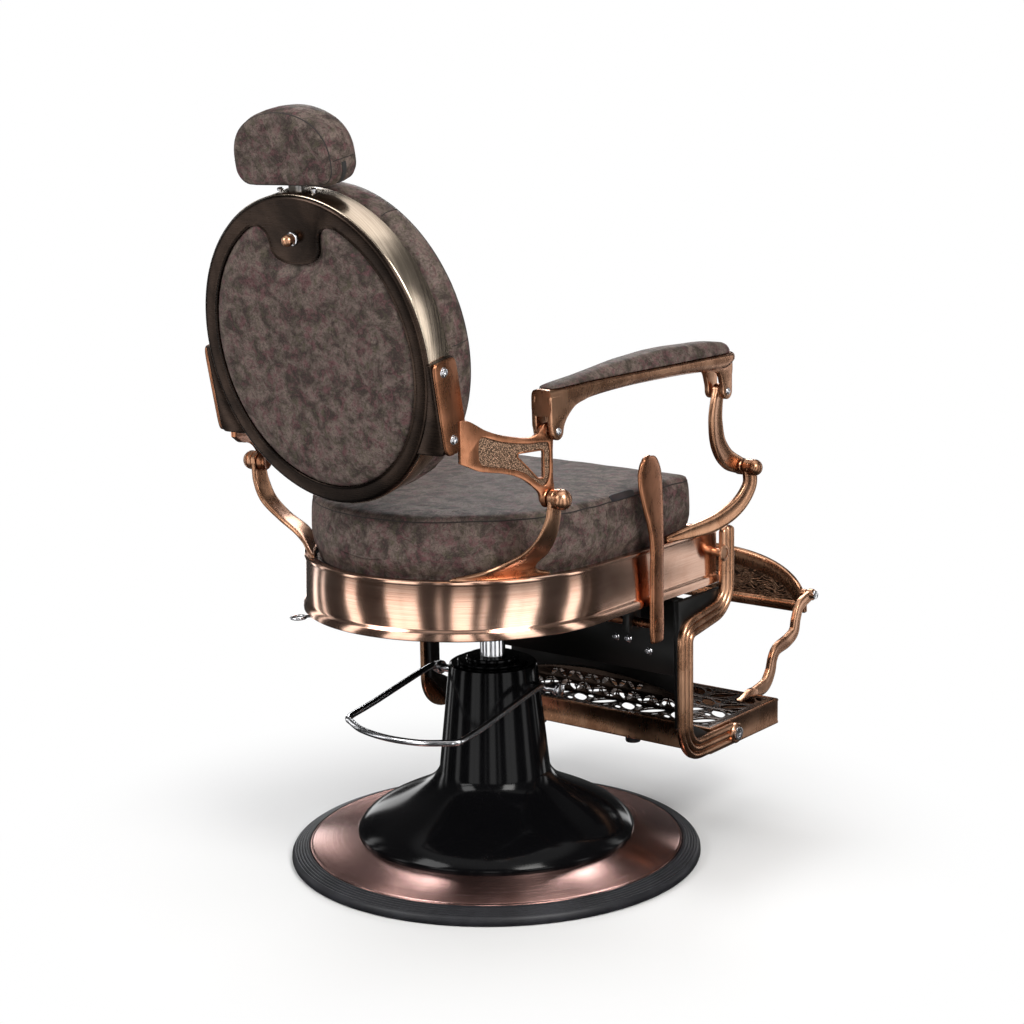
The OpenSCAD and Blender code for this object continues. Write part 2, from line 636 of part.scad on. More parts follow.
// Outline of the opening in the rear face: an oval with the tongue hanging into it
panel_rx = back_rx - rim_w;
panel_rz = back_rz - rim_w;
function panel_outline(g) = let (
    rx = panel_rx - g, rz = panel_rz - g, w = tongue_w + g,
    foot = rz - tongue_h, a0 = acos((w + 12) / rx))
    concat([for (i = [0:40]) let (a = 180 - a0 + (180 + 2 * a0) * i / 40) [rx * cos(a), rz * sin(a)]],
        [[w + 3, rz - 16], [w, rz - 26]],
        arc([w - 24, foot + 24], 24, 0, -90, 4), arc([-w + 24, foot + 24], 24, 270, 180, 4),
        [[-w, rz - 26], [-w - 3, rz - 16]]);

module back_frame() color(BRONZE) in_back() difference() {
    back_slab(-back_depth, 0) back_outline();
    back_slab(-back_depth - 1, -back_wall) polygon(ellipse(back_rx - back_wall, back_rz - back_wall));
    back_slab(-back_wall - 1, 1) polygon(panel_outline(0));
    translate([-post_w / 2 - SEAT_GAP, post_v - post_t / 2 - SEAT_GAP, back_rz - 30])
        cube([post_w + 2 * SEAT_GAP, post_t + 2 * SEAT_GAP, 40]);
    translate([0, 2, panel_rz - knob_drop]) rotate([90, 0, 0])
        cylinder(h = back_wall + 4, r = 5 + fit_gap);
}

module back_board() color(WOOD) in_back() difference() {
    back_slab(-back_depth + 2, -back_depth + 12)
        polygon(ellipse(back_rx - back_wall - SEAT_GAP, back_rz - back_wall - SEAT_GAP));
}

// The rounded cushion starts inside the band and swells out over its front edge
module back_cushion() color(LEATHER) in_back() translate([0, -back_depth + 1, 0]) rotate([90, 0, 0]) {
    t = back_pad_t;
    cushion_form(ellipse(back_rx + 3, back_rz + 1, 48), [
        [14, 1, 0], [12, 1, 3], [3, 1, 8], [0, 1, 16], [0, 1, t * 0.45], [3, 1, t * 0.7],
        [10, 1, t * 0.88], [22, 1, t * 0.97], [36, 1, t], [30, 0.8, t + 2], [20, 0.5, t + 3.5],
        [10, 0.25, t + 4]]);
}

module rear_panel() color(LEATHER) in_back() translate([0, -back_wall - 6, 0]) rotate([-90, 0, 0])
    mirror([0, 1, 0]) cushion_form(panel_outline(1), [
        [-6, 1, 0], [-6, 1, 5.5], [0, 1, 5.7], [0.5, 1, 9], [4, 1, 11.5], [10, 1, 12.5],
        [10, 0.75, 13.5], [6, 0.4, 14.5]]);

// A bolted plate on the ear, with an arm that reaches out and forward to both arm pivots
EAR_PLATE_T = 7;
ear_root = [-ear_x - EAR_PLATE_T + 1.5, back_y - 62];
ARM_SWING = -atan((arm_x + ear_root[0]) / (ear_root[1] - recline_y));
module side_bracket() {
    s1 = norm([arm_x + ear_root[0], ear_root[1] - recline_y]);
    za = recline_z;
    zb = recline_z + arm_rise;
    outline = concat(
        smooth([[4, zb - 38], [4, zb + 28], [-12, zb + 28], [-38, zb + 12], [-70, zb], [-s1 + 30, zb - 6],
            [-s1 + 14, zb + 2]], 4),
        arc([-s1, zb], 13, 0, 180, 6),
        [[-s1 - 9, zb - 24], [-s1 - 9, za + 24]],
        arc([-s1, za], 13, 180, 360, 6),
        smooth([[-s1 + 20, za + 14], [-s1 + 45, za + 34], [-70, za + 46], [-12, za + 62], [4, za + 66]], 4));
    window = smooth([[-s1 + 12, zb - 36], [-s1 + 12, za + 34], [-s1 + 24, za + 38], [-s1 + 36, zb - 40],
        [-s1 + 14, zb - 35]], 3);
    recess = [[-28, zb - 2], [-62, zb - 13], [-s1 + 48, zb - 20], [-s1 + 48, za + 52], [-62, za + 56],
        [-28, za + 70]];
    difference() {
        union() {
            translate([ear_root[0], ear_root[1], 0]) rotate([0, 0, ARM_SWING])
                upright(-bracket_t / 2, bracket_t) polygon(outline);
            in_back() translate([-ear_x - EAR_PLATE_T, -back_depth + 2, -ear_len])
                cube([EAR_PLATE_T - 0.2, back_depth - 3, ear_len - 3]);
            cross_bar(-arm_x - 5, -arm_x + 5, recline_y, za, 15);
            cross_bar(-arm_x - 5, -arm_x + 5, arm_rear_pivot[0], zb, 13);
        }
        translate([ear_root[0], ear_root[1], 0]) rotate([0, 0, ARM_SWING]) {
            upright(-bracket_t, 2 * bracket_t) polygon(window);
            upright(-bracket_t, bracket_t / 2 + 1.5) polygon(recess);
        }
        in_back() translate([-ear_x, -back_depth - 20, -back_rz]) cube([40, back_depth + 40, 2 * back_rz]);
        translate([-arm_x - 45, 0, za - 40]) cube([40, back_y, arm_rise + 80]);
        cross_bar(-arm_x - 20, -arm_x + 20, recline_y, za, link_pin_r + 1 + fit_gap);
        cross_bar(-arm_x - 20, -arm_x + 20, arm_rear_pivot[0], zb, link_pin_r + fit_gap);
    }
}
module side_bracket_right() color(COPPER) on_side(-1) side_bracket();
module side_bracket_left() color(COPPER) on_side(1) side_bracket();

module bracket_screws() color(CHROME) both_sides() in_back()
    for (u = [-20, -ear_len + 22]) translate([-ear_x - EAR_PLATE_T, -back_depth / 2 + 7, u]) rotate([0, -90, 0]) {
        cylinder(h = 4, r = 7);
        cylinder(h = 6, r = 4);
    }

// ---------- head rest ----------

// A ball-headed screw on the tongue clamps the post
module headrest_knob() color(COPPER) in_back() translate([0, 0, panel_rz - knob_drop])
    rotate([-90, 0, 0]) {
        translate([0, 0, post_v + post_t / 2 + 1]) cylinder(h = 14 - post_v - post_t / 2, r = 5);
        translate([0, 0, 0.4]) cylinder(h = 5, r = 8);
        translate([0, 0, 14]) sphere(9);
    }

module headrest_post() color(STEEL) in_back() difference() {
    union() {
        translate([-post_w / 2, post_v - post_t / 2, back_rz - 150])
            cube([post_w, post_t, head_pivot_u - back_rz + 150]);
        translate([-post_w / 2, post_v, head_pivot_u]) rotate([0, 90, 0]) cylinder(h = post_w, r = 9);
    }
    translate([-post_w / 2 - 1, post_v, head_pivot_u]) rotate([0, 90, 0])
        cylinder(h = post_w + 2, r = 4 + fit_gap);
}

module headrest_bracket() color(STEEL) in_back() {
    translate([-post_w / 2 - 12, post_v, head_pivot_u]) rotate([0, 90, 0]) cylinder(h = post_w + 24, r = 4);
    for (s = [-1, 1]) translate([s * (post_w / 2 + 5) - 3.5, post_v - 9, head_pivot_u - 9]) cube([7, 18, 38]);
    translate([-60, post_v - 9, head_pivot_u + 26]) cube([120, 18, 6]);
}

// Half-round outline of the head rest about the middle of its height
function head_outline() = let (k = 26, r = head_rx, h0 = -head_h / 2, h1 = head_h / 2) concat(
    [for (i = [0:20]) let (a = 180 * i / 20) [r * cos(a), (h1 + 22) * max(sin(a), 0) ^ 0.8 - 22]],
    arc([-r + k, h0 + k], k, 180, 270, 5),
    [[-r / 3, h0], [0, h0], [r / 3, h0]],
    arc([r - k, h0 + k], k, 270, 360, 5));

module headrest_cushion() color(LEATHER) in_back() difference() {
    translate([0, 0, back_rz + head_gap + head_h / 2]) rotate([90, 0, 0])
        cushion_form(head_outline(), [[14, 1, 0], [5, 1, 3], [0, 1, 9], [-1, 1, head_t * 0.4],
            [0, 1, head_t * 0.7], [5, 1, head_t * 0.88], [14, 1, head_t * 0.98], [24, 1, head_t + 1],
            [20, 0.6, head_t + 4]]);
    translate([-post_w / 2 - 14, post_v - 12, back_rz + head_gap - 1]) cube([post_w + 28, 24, 52]);
    translate([-61, post_v - 10, head_pivot_u + 25]) cube([122, 20, 8]);
}

// ---------- arms ----------

// Plan of the metal arm: narrow at the rear, full width from a third of its length
function arm_plan(t, y0, y1) = let (w = arm_w / 2 - t, n = clevis_w / 2 - t) concat(
    smooth([[-n, y1 - 4], [-n - 1, y1 - 60], [-w, y1 - 190], [-w, y0 + 60], [-w, y0 + 14]], 4),
    arc([-w + 14, y0 + 14], 14, 190, 260, 4), arc([w - 14, y0 + 14], 14, 280, 350, 4),
    smooth([[w, y0 + 14], [w, y0 + 60], [w, y1 - 190], [n + 1, y1 - 60], [n, y1 - 4]], 4),
    arc([n - 8, y1 - 8], 8, 10, 80, 3), arc([-n + 8, y1 - 8], 8, 100, 170, 3));

module armrest() {
    b = arm_rear_pivot;
    c = arm_front_pivot;
    z0 = arm_low_z;
    profile = concat([[arm_rear, arm_top_z], [arm_front, arm_top_z], [arm_front, z0 + 4]],
        smooth([[arm_front + 6, z0], [c[0] - 14, z0 - 8], [c[0] - 15, c[1]]], 3),
        arc(c, 14, 190, 350, 6),
        smooth([[c[0] + 16, c[1] + 12], [c[0] + 34, z0 - 8], [c[0] + 90, z0 - 3], [-60, z0 + 2],
            [b[0] - 100, z0 + 2], [b[0] - 50, z0 - 8], [b[0] - 24, z0 - 26], [b[0] - 15, b[1]]], 3),
        arc(b, 14, 190, 330, 5), [[arm_rear - 2, b[1] + 8]]);
    difference() {
        intersection() {
            upright(-arm_x - arm_w, 2 * arm_w) polygon(profile);
            union() {
                translate([-arm_x, 0, z0 - 4]) linear_extrude(arm_t + 10) polygon(arm_plan(0, arm_front, arm_rear));
                translate([-arm_x - clevis_w / 2, arm_front, z0 - 80]) cube([clevis_w, arm_len, 84]);
            }
        }
        for (p = [b, c]) translate([-arm_x - clevis_w / 2 + clevis_ear, p[0] - 34, z0 - 90])
            cube([clevis_w - 2 * clevis_ear, 68, 87]);
        cross_bar(-arm_x - 40, -arm_x + 40, b[0], b[1], link_pin_r);
        cross_bar(-arm_x - 40, -arm_x + 40, c[0], c[1], link_pin_r);
    }
}
module armrest_right() color(COPPER) on_side(-1) armrest();
module armrest_left() color(COPPER) on_side(1) armrest();

// The pad is a third of its height at the rear of the arm
module arm_pad() {
    y0 = arm_front + 8;
    y1 = arm_rear - 12;
    mid = (y0 + y1) / 2;
    plan = [for (p = arm_plan(3, y0, y1)) [p[0], p[1] - mid]];
    translate([-arm_x, mid, arm_top_z + 0.2]) cushion_form(plan, [[1, 1, 0], [0, 1, 5],
        [0.5, 1, arm_pad_h * 0.4], [5, 1, arm_pad_h * 0.75], [11, 0.99, arm_pad_h * 0.93],
        [17, 0.98, arm_pad_h]], 0.65, y1 - mid);
}
module arm_pad_right() color(LEATHER) on_side(-1) arm_pad();
module arm_pad_left() color(LEATHER) on_side(1) arm_pad();

// The rear pin runs through both ears; the front pivot has a short screw in each ear
module arm_pin() {
    w = clevis_w / 2;
    cross_bar(-arm_x - w - 2, -arm_x + w, arm_rear_pivot[0], arm_rear_pivot[1], link_pin_r);
    cross_bar(-arm_x - w - 2, -arm_x - w + clevis_ear - 1, arm_front_pivot[0], arm_front_pivot[1], link_pin_r);
    cross_bar(-arm_x + w - clevis_ear + 1, -arm_x + w, arm_front_pivot[0], arm_front_pivot[1], link_pin_r);
}
module arm_pin_right() color(CHROME) on_side(-1) arm_pin();
module arm_pin_left() color(CHROME) on_side(1) arm_pin();

// A curved bar from the front of the arm down to the front bracket
module front_link() {
    c = arm_front_pivot;
    d = link_foot;
    bar = smooth([c, c + [7, -26], c + [9, -55], c + [0, -92], c + [-28, -122], d]);
    difference() {
        union() {
            upright(-arm_x - 6, 12) ribbon(bar, 9, 12);
            cross_bar(-arm_x - 6, -arm_x + 6, c[0], c[1], 10);
            cross_bar(-arm_x - 6, -arm_x + 6, d[0], d[1], 14);
        }
        cross_bar(-scroll_x - 10, -arm_x + 20, d[0], d[1], link_pin_r + 1 + fit_gap);
    }
}
module front_link_right() color(COPPER) on_side(-1) front_link();
module front_link_left() color(COPPER) on_side(1) front_link();

// ---------- leg rest ----------

// Middle line of a side rail, in Y and Z, from its rounded top to its forward foot
RAIL_REAR = 112;
rail_foot = [-tray_rear - 68, tray_low_z + 25];
rail_line = let (y = -leg_y, z = leg_z) rounded([[y - 19, z + 36], [y - 19, z - 96],
    [y + RAIL_REAR, z - 122], [y + RAIL_REAR, rail_foot[1]], rail_foot], [46, 26, 46]);

module leg_rail() difference() {
    union() {
        upright(-rail_x - rail_t + 4, rail_t - 4) {
            ribbon(rail_line, rail_w / 2, rail_w / 2);
            translate(rail_line[0]) circle(rail_w / 2);
            translate(rail_foot) circle(rail_w / 2);
            translate([-leg_y, leg_z]) circle(rail_w / 2 - 2);
        }
        for (e = [-1, 0, 1]) upright(-rail_x - rail_t, 5) rib(e * rail_w / 3);
    }
    cross_bar(-rail_x - rail_t + 3, -rail_x + 1, -leg_y, leg_z, leg_pin_r + fit_gap);
    cross_bar(-rail_x - rail_t - 1, -rail_x + 1, rail_foot[0], rail_foot[1], 6);
}
// A raised rib along the rail, e to one side of its middle line
module rib(e) ribbon([for (i = [0:len(rail_line) - 1])
    let (d = heading(rail_line, i)) rail_line[i] + e * [-d[1], d[0]]], 3.2, 3.2);
module leg_rail_right() color(COPPER) on_side(-1) leg_rail();
module leg_rail_left() color(COPPER) on_side(1) leg_rail();

// The black plate that carries a rail, below the seat frame
module leg_side() {
    z1 = seat_low_z - 8;
    upright(-rail_x + 0.3, rail_x - panel_half_w - 6) polygon([
        [-panel_y + 6, z1], [-leg_y - 12, z1], [-leg_y + 8, z1 - 28], [-leg_y + 60, z1 - 48],
        [-panel_y - 22, z1 - 70], [-panel_y - 22, tray_top_z + 30], [-tray_rear, tray_top_z - 8],
        [-tray_rear, tray_low_z + 12], [-tray_rear + 36, tray_low_z + 14], [-panel_y + 4, tray_top_z + 26]]);
}
module leg_side_right() color(BLACK) on_side(-1) leg_side();
module leg_side_left() color(BLACK) on_side(1) leg_side();

// A folded sheet behind the calves, between the side plates
panel_low_z = tray_top_z + panel_rise;
module calf_panel() color(BLACK) {
    z1 = seat_low_z - 8;
    w = panel_half_w + 5.5;
    translate([-w, -panel_y, panel_low_z]) cube([2 * w, 4, z1 - panel_low_z]);
    for (z = [panel_low_z, z1 - 4]) translate([-w, -panel_y - 26, z]) cube([2 * w, 26.5, 4]);
}

module panel_screws() color(CHROME)
    for (p = [[-178, 52], [-152, 52], [152, 52], [178, 52], [-221, 36], [221, 36]])
        translate([p[0], -panel_y + 4, panel_low_z + p[1]]) rotate([-90, 0, 0]) cylinder(h = 5, r = 6, $fn = 32);

// Outline of the calf pad about its middle, with rounded corners
calf_half_h = (seat_low_z - 14 - panel_low_z) / 2;
function rounded_box(w, h, k, n, m) = concat(
    arc([w - k, h - k], k, 0, 90, n), [for (i = [1:m]) [(w - k) * (1 - 2 * i / (m + 1)), h]],
    arc([-w + k, h - k], k, 90, 180, n), arc([-w + k, -h + k], k, 180, 270, n),
    [for (i = [1:m]) [(-w + k) * (1 - 2 * i / (m + 1)), -h]], arc([w - k, -h + k], k, 270, 360, n));

module calf_pad() color(LEATHER)
    translate([0, -panel_y - 26.3, panel_low_z + calf_half_h + 4]) rotate([90, 0, 0])
        cushion_form(rounded_box(panel_half_w - 6, calf_half_h + 4, 16, 4, 5), [[4, 1, 0], [0, 1, 5], [0, 1, 20],
            [4, 1, 29], [14, 1, 34], [26, 0.95, 37]]);

module foot_tray() color(COPPER) difference() {
    translate([-tray_half_w, -tray_front, tray_low_z]) cube([2 * tray_half_w, tray_depth, tray_h]);
    translate([-tray_half_w + tray_wall, -tray_front + tray_wall, tray_low_z - 1])
        cube([2 * (tray_half_w - tray_wall), tray_depth - 2 * tray_wall, tray_h + 2]);
    both_sides() cross_bar(-tray_half_w - 1, -tray_half_w + tray_wall + 1, -tray_rear - 68, tray_low_z + 25, 6);
}

// The open floor of the tray: a plate cut with rows of leaf-shaped holes round long slots
GRILLE_T = 6;
module leaf_hole(l, w) intersection() {
    r = (l * l / 4 + w * w / 4) / w;
    translate([0, r - w / 2]) circle(r, $fn = 48);
    translate([0, w / 2 - r]) circle(r, $fn = 48);
}
module foot_grille() color(BRONZE) {
    w = tray_half_w - tray_wall - SEAT_GAP;
    d = tray_depth / 2 - tray_wall - SEAT_GAP;
    leaf = 44;
    columns = floor((2 * w - 24) / 52);
    rows = floor((2 * d - 16) / 50);
    translate([0, -tray_rear - tray_depth / 2, tray_top_z - GRILLE_T]) linear_extrude(GRILLE_T) difference() {
        square([2 * w, 2 * d], center = true);
        for (i = [0:columns - 1]) for (j = [0:rows - 1])
            translate([(i - (columns - 1) / 2) * 52, (j - (rows - 1) / 2) * 50]) {
                rotate([0, 0, (i + j) % 2 == 0 ? 45 : -45]) leaf_hole(leaf, 20);
                for (a = [0, 180]) rotate([0, 0, a + ((i + j) % 2 == 0 ? -45 : 45)])
                    translate([20, 0]) circle(6, $fn = 24);
            }
    }
}

// The pierced plate that stands on the tray behind the heels, with an arched top, and the black
// board on its front face
HEEL_BOW = 27;
heel_half_w = tray_half_w - 82;
HEEL_LAP = 8;
function heel_arch(low) = [for (i = [-12:12])
    [i / 12 * heel_half_w, heel_h - low - HEEL_BOW * (i / 12) * (i / 12)]];
module heel_grille() color(BRONZE)
    translate([0, -heel_y, tray_top_z]) rotate([90, 0, 0]) linear_extrude(heel_t) difference() {
        polygon(concat([[heel_half_w, 0], [-heel_half_w, 0]], heel_arch(0)));
        for (i = [-7:7]) translate([i * 24, 14]) rotate([0, 0, i % 2 == 0 ? 40 : -40]) leaf_hole(20, 10);
        for (i = [-4:4]) translate([(i + (i < 0 ? 0.5 : -0.5)) * 26, 34]) rotate([0, 0, i % 2 == 0 ? -35 : 35])
            if (i != 0) leaf_hole(16, 8);
    }
module heel_board() color(BLACK)
    translate([0, -heel_y - heel_t, tray_top_z]) rotate([90, 0, 0]) linear_extrude(heel_t)
        polygon(concat(heel_arch(HEEL_LAP), [[heel_half_w, heel_board_h], [-heel_half_w, heel_board_h]]));

module tray_bolts() color(CHROME) both_sides() {
    y = -tray_rear - 68;
    cross_bar(-rail_x - rail_t - 1, -tray_half_w + tray_wall + 6, y, tray_low_z + 25, 6);
    difference() {
        cross_bar(-rail_x - rail_t - 6, -rail_x - rail_t - 0.2, y, tray_low_z + 25, 12);
        cross_bar(-rail_x - rail_t - 7, -rail_x - rail_t - 4, y, tray_low_z + 25, 7);
    }
}

module tray_buffers() color(RUBBER) for (k = [-1, -0.428, 0.428, 1])
    translate([k * (tray_half_w - buffer_in), -tray_rear - 18, tray_low_z - 11]) {
        cylinder(h = 11, r = 13);
        translate([0, 0, 2]) cylinder(h = 9, r = 14);
    }

// ---------- foot board ----------

// An S-shaped arm from the tray's front corner up to the foot board's pivot
FOOT_LEAF = [[-18, 0], [-12, 14], [6, 16], [46, 5], [46, 0]];
module board_arm() {
    y = -board_y;
    z = board_z;
    foot = [-tray_front + 18, tray_top_z];
    line = smooth([foot, [y + 165, z - 139], [y + 148, z - 118], [y + 142, z - 94], [y + 129, z - 80],
        [y + 90, z - 72], [y + 63, z - 59], [y + 57, z - 36], [y + 45, z - 13], [y, z]], 4);
    difference() {
        union() {
            upright(-board_arm_x - 12, 12) {
                ribbon(line, 9, 8);
                translate([y, z]) circle(11);
                polygon([for (q = FOOT_LEAF) foot + q]);
            }
        }
        translate([-board_arm_x - 20, -tray_front - 20, tray_top_z - 40]) cube([40, 120, 40]);
        cross_bar(-board_arm_x - 20, -board_arm_x + 20, y, z, 4.5);
    }
}
module board_arm_right() color(COPPER) on_side(-1) board_arm();
module board_arm_left() color(COPPER) on_side(1) board_arm();

// Arched outline of the foot board, in X and Z from its pivots, drawn in by t
function board_outline(t) = let (w = board_half_w - t, h = board_up + board_down - 2 * t) concat(
    [for (i = [0:28]) let (a = 180 * i / 28, c = cos(a), s = max(sin(a), 0))
        [w * sign(c) * abs(c) ^ 0.8, -board_down + t + h * s ^ 0.8]],
    [[-w * 0.6, -board_down + t], [0, -board_down + t], [w * 0.6, -board_down + t]]);

module board_slab(y0, y1, t) translate([0, -board_y + y1, board_z]) rotate([90, 0, 0])
    linear_extrude(y1 - y0) polygon(board_outline(t));

PIN_DEPTH = 9;
module foot_board() color(COPPER) difference() {
    union() {
        board_slab(-board_t / 2, board_t / 2, 0);
        both_sides() cross_bar(-board_half_w - 1, -board_half_w + PIN_DEPTH + 2, -board_y, board_z, 9);
    }
    board_slab(board_t / 2 - 4, board_t / 2 + 1, 18);
    both_sides() cross_bar(-board_half_w - 2, -board_half_w + PIN_DEPTH, -board_y, board_z, 4.5 + fit_gap);
}

module foot_board_pad() color(LEATHER)
    translate([0, -board_y - board_t / 2 - 0.3, board_z + (board_up - board_down) / 2]) rotate([90, 0, 0])
        cushion_form([for (p = board_outline(14)) p - [0, (board_up - board_down) / 2]],
            [[3, 1, 0], [0, 1, 5], [1, 1, 14], [6, 1, 20], [14, 0.97, 24]]);

module board_pins() color(CHROME) both_sides() {
    cross_bar(-board_arm_x - 13, -board_half_w + PIN_DEPTH - 1, -board_y, board_z, 4.5);
    cross_bar(-board_arm_x - 17, -board_arm_x - 12.2, -board_y, board_z, 8);
}

base_ring();
floor_plate();
base_cover();
column_cover();
column_collar();
pump_cylinder();
pedal_pivots();
pump_pedal();
lifting_rod();
swivel_head();
seat_plate();
seat_band();
seat_board();
seat_cushion();
recline_lock();
rear_bracket_right();
rear_bracket_left();
front_bracket_right();
front_bracket_left();
pivot_caps();
leg_pins();
recline_lever();
swivel_brake_lever();
back_frame();
back_board();
back_cushion();
rear_panel();
side_bracket_right();
side_bracket_left();
bracket_screws();
headrest_knob();
headrest_post();
headrest_bracket();
headrest_cushion();
armrest_right();
armrest_left();
arm_pad_right();
arm_pad_left();
arm_pin_right();
arm_pin_left();
front_link_right();
front_link_left();
leg_rail_right();
leg_rail_left();
leg_side_right();
leg_side_left();
calf_panel();
panel_screws();
calf_pad();
foot_tray();
foot_grille();
heel_grille();
heel_board();
tray_bolts();
tray_buffers();
board_arm_right();
board_arm_left();
foot_board();
foot_board_pad();
board_pins();
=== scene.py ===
"""Dresses the frame of a hydraulic barber chair: leather, antique copper, black enamel and chrome."""
import json
import math
from contextlib import contextmanager

import bmesh
import bpy
import numpy as np
from bpy.props import FloatVectorProperty, PointerProperty
from mathutils import Matrix, Vector

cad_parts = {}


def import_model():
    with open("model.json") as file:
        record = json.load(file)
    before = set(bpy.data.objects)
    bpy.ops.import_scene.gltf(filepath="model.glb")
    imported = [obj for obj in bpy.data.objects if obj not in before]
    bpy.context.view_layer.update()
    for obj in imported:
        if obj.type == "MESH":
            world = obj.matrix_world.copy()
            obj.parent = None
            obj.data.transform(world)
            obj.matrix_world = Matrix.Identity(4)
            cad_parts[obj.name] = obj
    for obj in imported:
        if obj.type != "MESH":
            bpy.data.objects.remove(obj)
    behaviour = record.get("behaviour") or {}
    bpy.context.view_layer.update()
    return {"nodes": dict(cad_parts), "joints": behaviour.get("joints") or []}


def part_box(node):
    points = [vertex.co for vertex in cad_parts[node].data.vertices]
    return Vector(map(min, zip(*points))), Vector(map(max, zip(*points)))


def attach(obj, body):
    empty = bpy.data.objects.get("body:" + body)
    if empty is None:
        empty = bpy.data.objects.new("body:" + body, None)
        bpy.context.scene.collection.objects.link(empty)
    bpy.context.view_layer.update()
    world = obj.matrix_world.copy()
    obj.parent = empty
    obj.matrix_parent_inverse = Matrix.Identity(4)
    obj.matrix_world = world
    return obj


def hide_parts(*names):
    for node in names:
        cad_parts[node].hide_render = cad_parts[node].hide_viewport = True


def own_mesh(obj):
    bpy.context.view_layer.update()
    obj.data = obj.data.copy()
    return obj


bl_info = {
    "name": "Barber Chair Dresser",
    "version": (1, 0, 0),
    "blender": (4, 5, 0),
    "location": "View3D > Sidebar > Barber Chair",
    "description": "Upholstery, castings and finishes of a hydraulic barber chair",
    "category": "Add Mesh",
}

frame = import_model()
JOINTS = {j["name"]: j for j in frame["joints"]}
SIDES = (("right", -1), ("left", 1))


def box(node):
    """Lowest and highest corner of a node, as arrays."""
    low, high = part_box(node)
    return np.array(low), np.array(high)


def pivot(joint):
    """Y and Z of a joint's axis."""
    return np.array(JOINTS[joint]["pos_m"])[1:]


# Places that several pieces share, all from the frame
BACK_UP = np.array(JOINTS["headrest_slide"]["axis"])
BACK_OUT = np.array([0.0, BACK_UP[2], -BACK_UP[1]])
BACK_MID = np.mean(box("back_board"), axis=0) + 0.047 * BACK_OUT
RECLINE = pivot("back_recline")
ARM_REAR = pivot("armrest_right_tilt")
LINK_FOOT = pivot("front_link_right_swing")
LEG_PIVOT = pivot("legrest_swing")
BOARD_PIVOT = pivot("footboard_flip")
ARM_X = abs(JOINTS["armrest_right_tilt"]["pos_m"][0])
ARM_FRONT = np.array([box("armrest_right")[0][1] + 0.019, box("front_link_right")[1][2] - 0.010])
BAND_LOW, BAND_HIGH = box("seat_band")
BAND_FOOT, BAND_TOP = BAND_LOW[2], BAND_HIGH[2]
SEAT_R = BAND_HIGH[0] - 0.005       # radius of the seat's rear half, without the band's beads
SEAT_YC = 0.063                     # Y of its centre
SEAT_FRONT = BAND_LOW[1] + 0.005
X_AXIS = (1, 0, 0)
Y_AXIS = (0, 1, 0)
Z_AXIS = (0, 0, 1)


# ---------- lines and outlines ----------

def unit(v):
    """Vectors scaled to length 1 along their last axis."""
    return v / np.maximum(np.linalg.norm(v, axis=-1, keepdims=True), 1e-12)


def through(points, n, closed=False):
    """A Catmull-Rom curve through the points, as n points evenly spaced along it. A point may carry more
    numbers than its place, such as a width, and they go along."""
    p = np.asarray(points, float)
    q = np.vstack([p[-1:], p, p[:2]]) if closed else np.vstack([2 * p[0] - p[1], p, 2 * p[-1] - p[-2]])
    spans = len(q) - 3
    t = np.linspace(0, spans, 24 * spans + 1)
    i = np.minimum(t.astype(int), spans - 1)
    t = (t - i)[:, None]
    a, b, c, d = q[i], q[i + 1], q[i + 2], q[i + 3]
    fine = 0.5 * (2 * b + (c - a) * t + (2 * a - 5 * b + 4 * c - d) * t ** 2
                  + (3 * b - a - 3 * c + d) * t ** 3)
    return even(fine, n, closed)


def even(p, n, closed=False):
    """n points at equal steps along the line p; a closed line's first point isn't repeated."""
    s = np.concatenate([[0], np.cumsum(np.linalg.norm(np.diff(p, axis=0), axis=1))])
    t = np.linspace(0, s[-1], n + 1)[:-1] if closed else np.linspace(0, s[-1], n)
    return np.stack([np.interp(t, s, p[:, k]) for k in range(p.shape[1])], axis=1)


def ring(parts, n):
    """A closed outline that runs through the parts in turn, as n even points."""
    p = np.vstack(parts)
    return even(np.vstack([p, p[:1]]), n, closed=True)


def smooth(points, n, t):
    """A curve through (place, value) points, read at the places t."""
    c = through(points, n)
    return np.interp(t, c[:, 0], c[:, 1])


def spread(values, n):
    """A row of values, or a single one, drawn out to n values by straight steps."""
    return np.interp(np.linspace(0, 1, n), np.linspace(0, 1, np.size(values)), np.atleast_1d(values))


def around(n):
    """The angles of n equal steps round a full turn."""
    return np.linspace(0, 2 * math.pi, n, endpoint=False)


def arc(at, r, angles):
    """Points of a circle of radius r about a place, at the angles."""
    return np.stack([at[0] + r * np.cos(angles), at[1] + r * np.sin(angles)], axis=1)


def power(x, e):
    """A power of the size of x, with the sign of x."""
    return np.sign(x) * np.abs(x) ** e


def rounded(points, radii, n):
    """A flat line whose inner corners are arcs of n steps: each arc touches both of its sides."""
    p = np.asarray(points, float)
    out = [p[0]]
    for a, b, c, r in zip(p[:-2], p[1:-1], p[2:], radii):
        u, v = unit(a - b), unit(c - b)
        half = math.acos(np.clip(u @ v, -1, 1)) / 2
        centre = b + unit(u + v) * r / math.sin(half)
        start = b + u * r / math.tan(half) - centre
        turn = (math.pi - 2 * half) * (-1 if u[0] * v[1] - u[1] * v[0] > 0 else 1)
        out.extend(arc(centre, r, math.atan2(start[1], start[0]) + turn * np.linspace(0, 1, n + 1)))
    out.append(p[-1])
    return np.array(out)


def normals2(p):
    """Outward unit normals of a closed outline that runs anticlockwise."""
    d = np.roll(p, -1, axis=0) - np.roll(p, 1, axis=0)
    return unit(np.stack([d[:, 1], -d[:, 0]], axis=1))


def signed_area(p):
    """Twice the area of a flat loop, positive when it runs anticlockwise."""
    q = np.roll(p, -1, axis=0)
    return np.sum(p[:, 0] * q[:, 1] - q[:, 0] * p[:, 1])


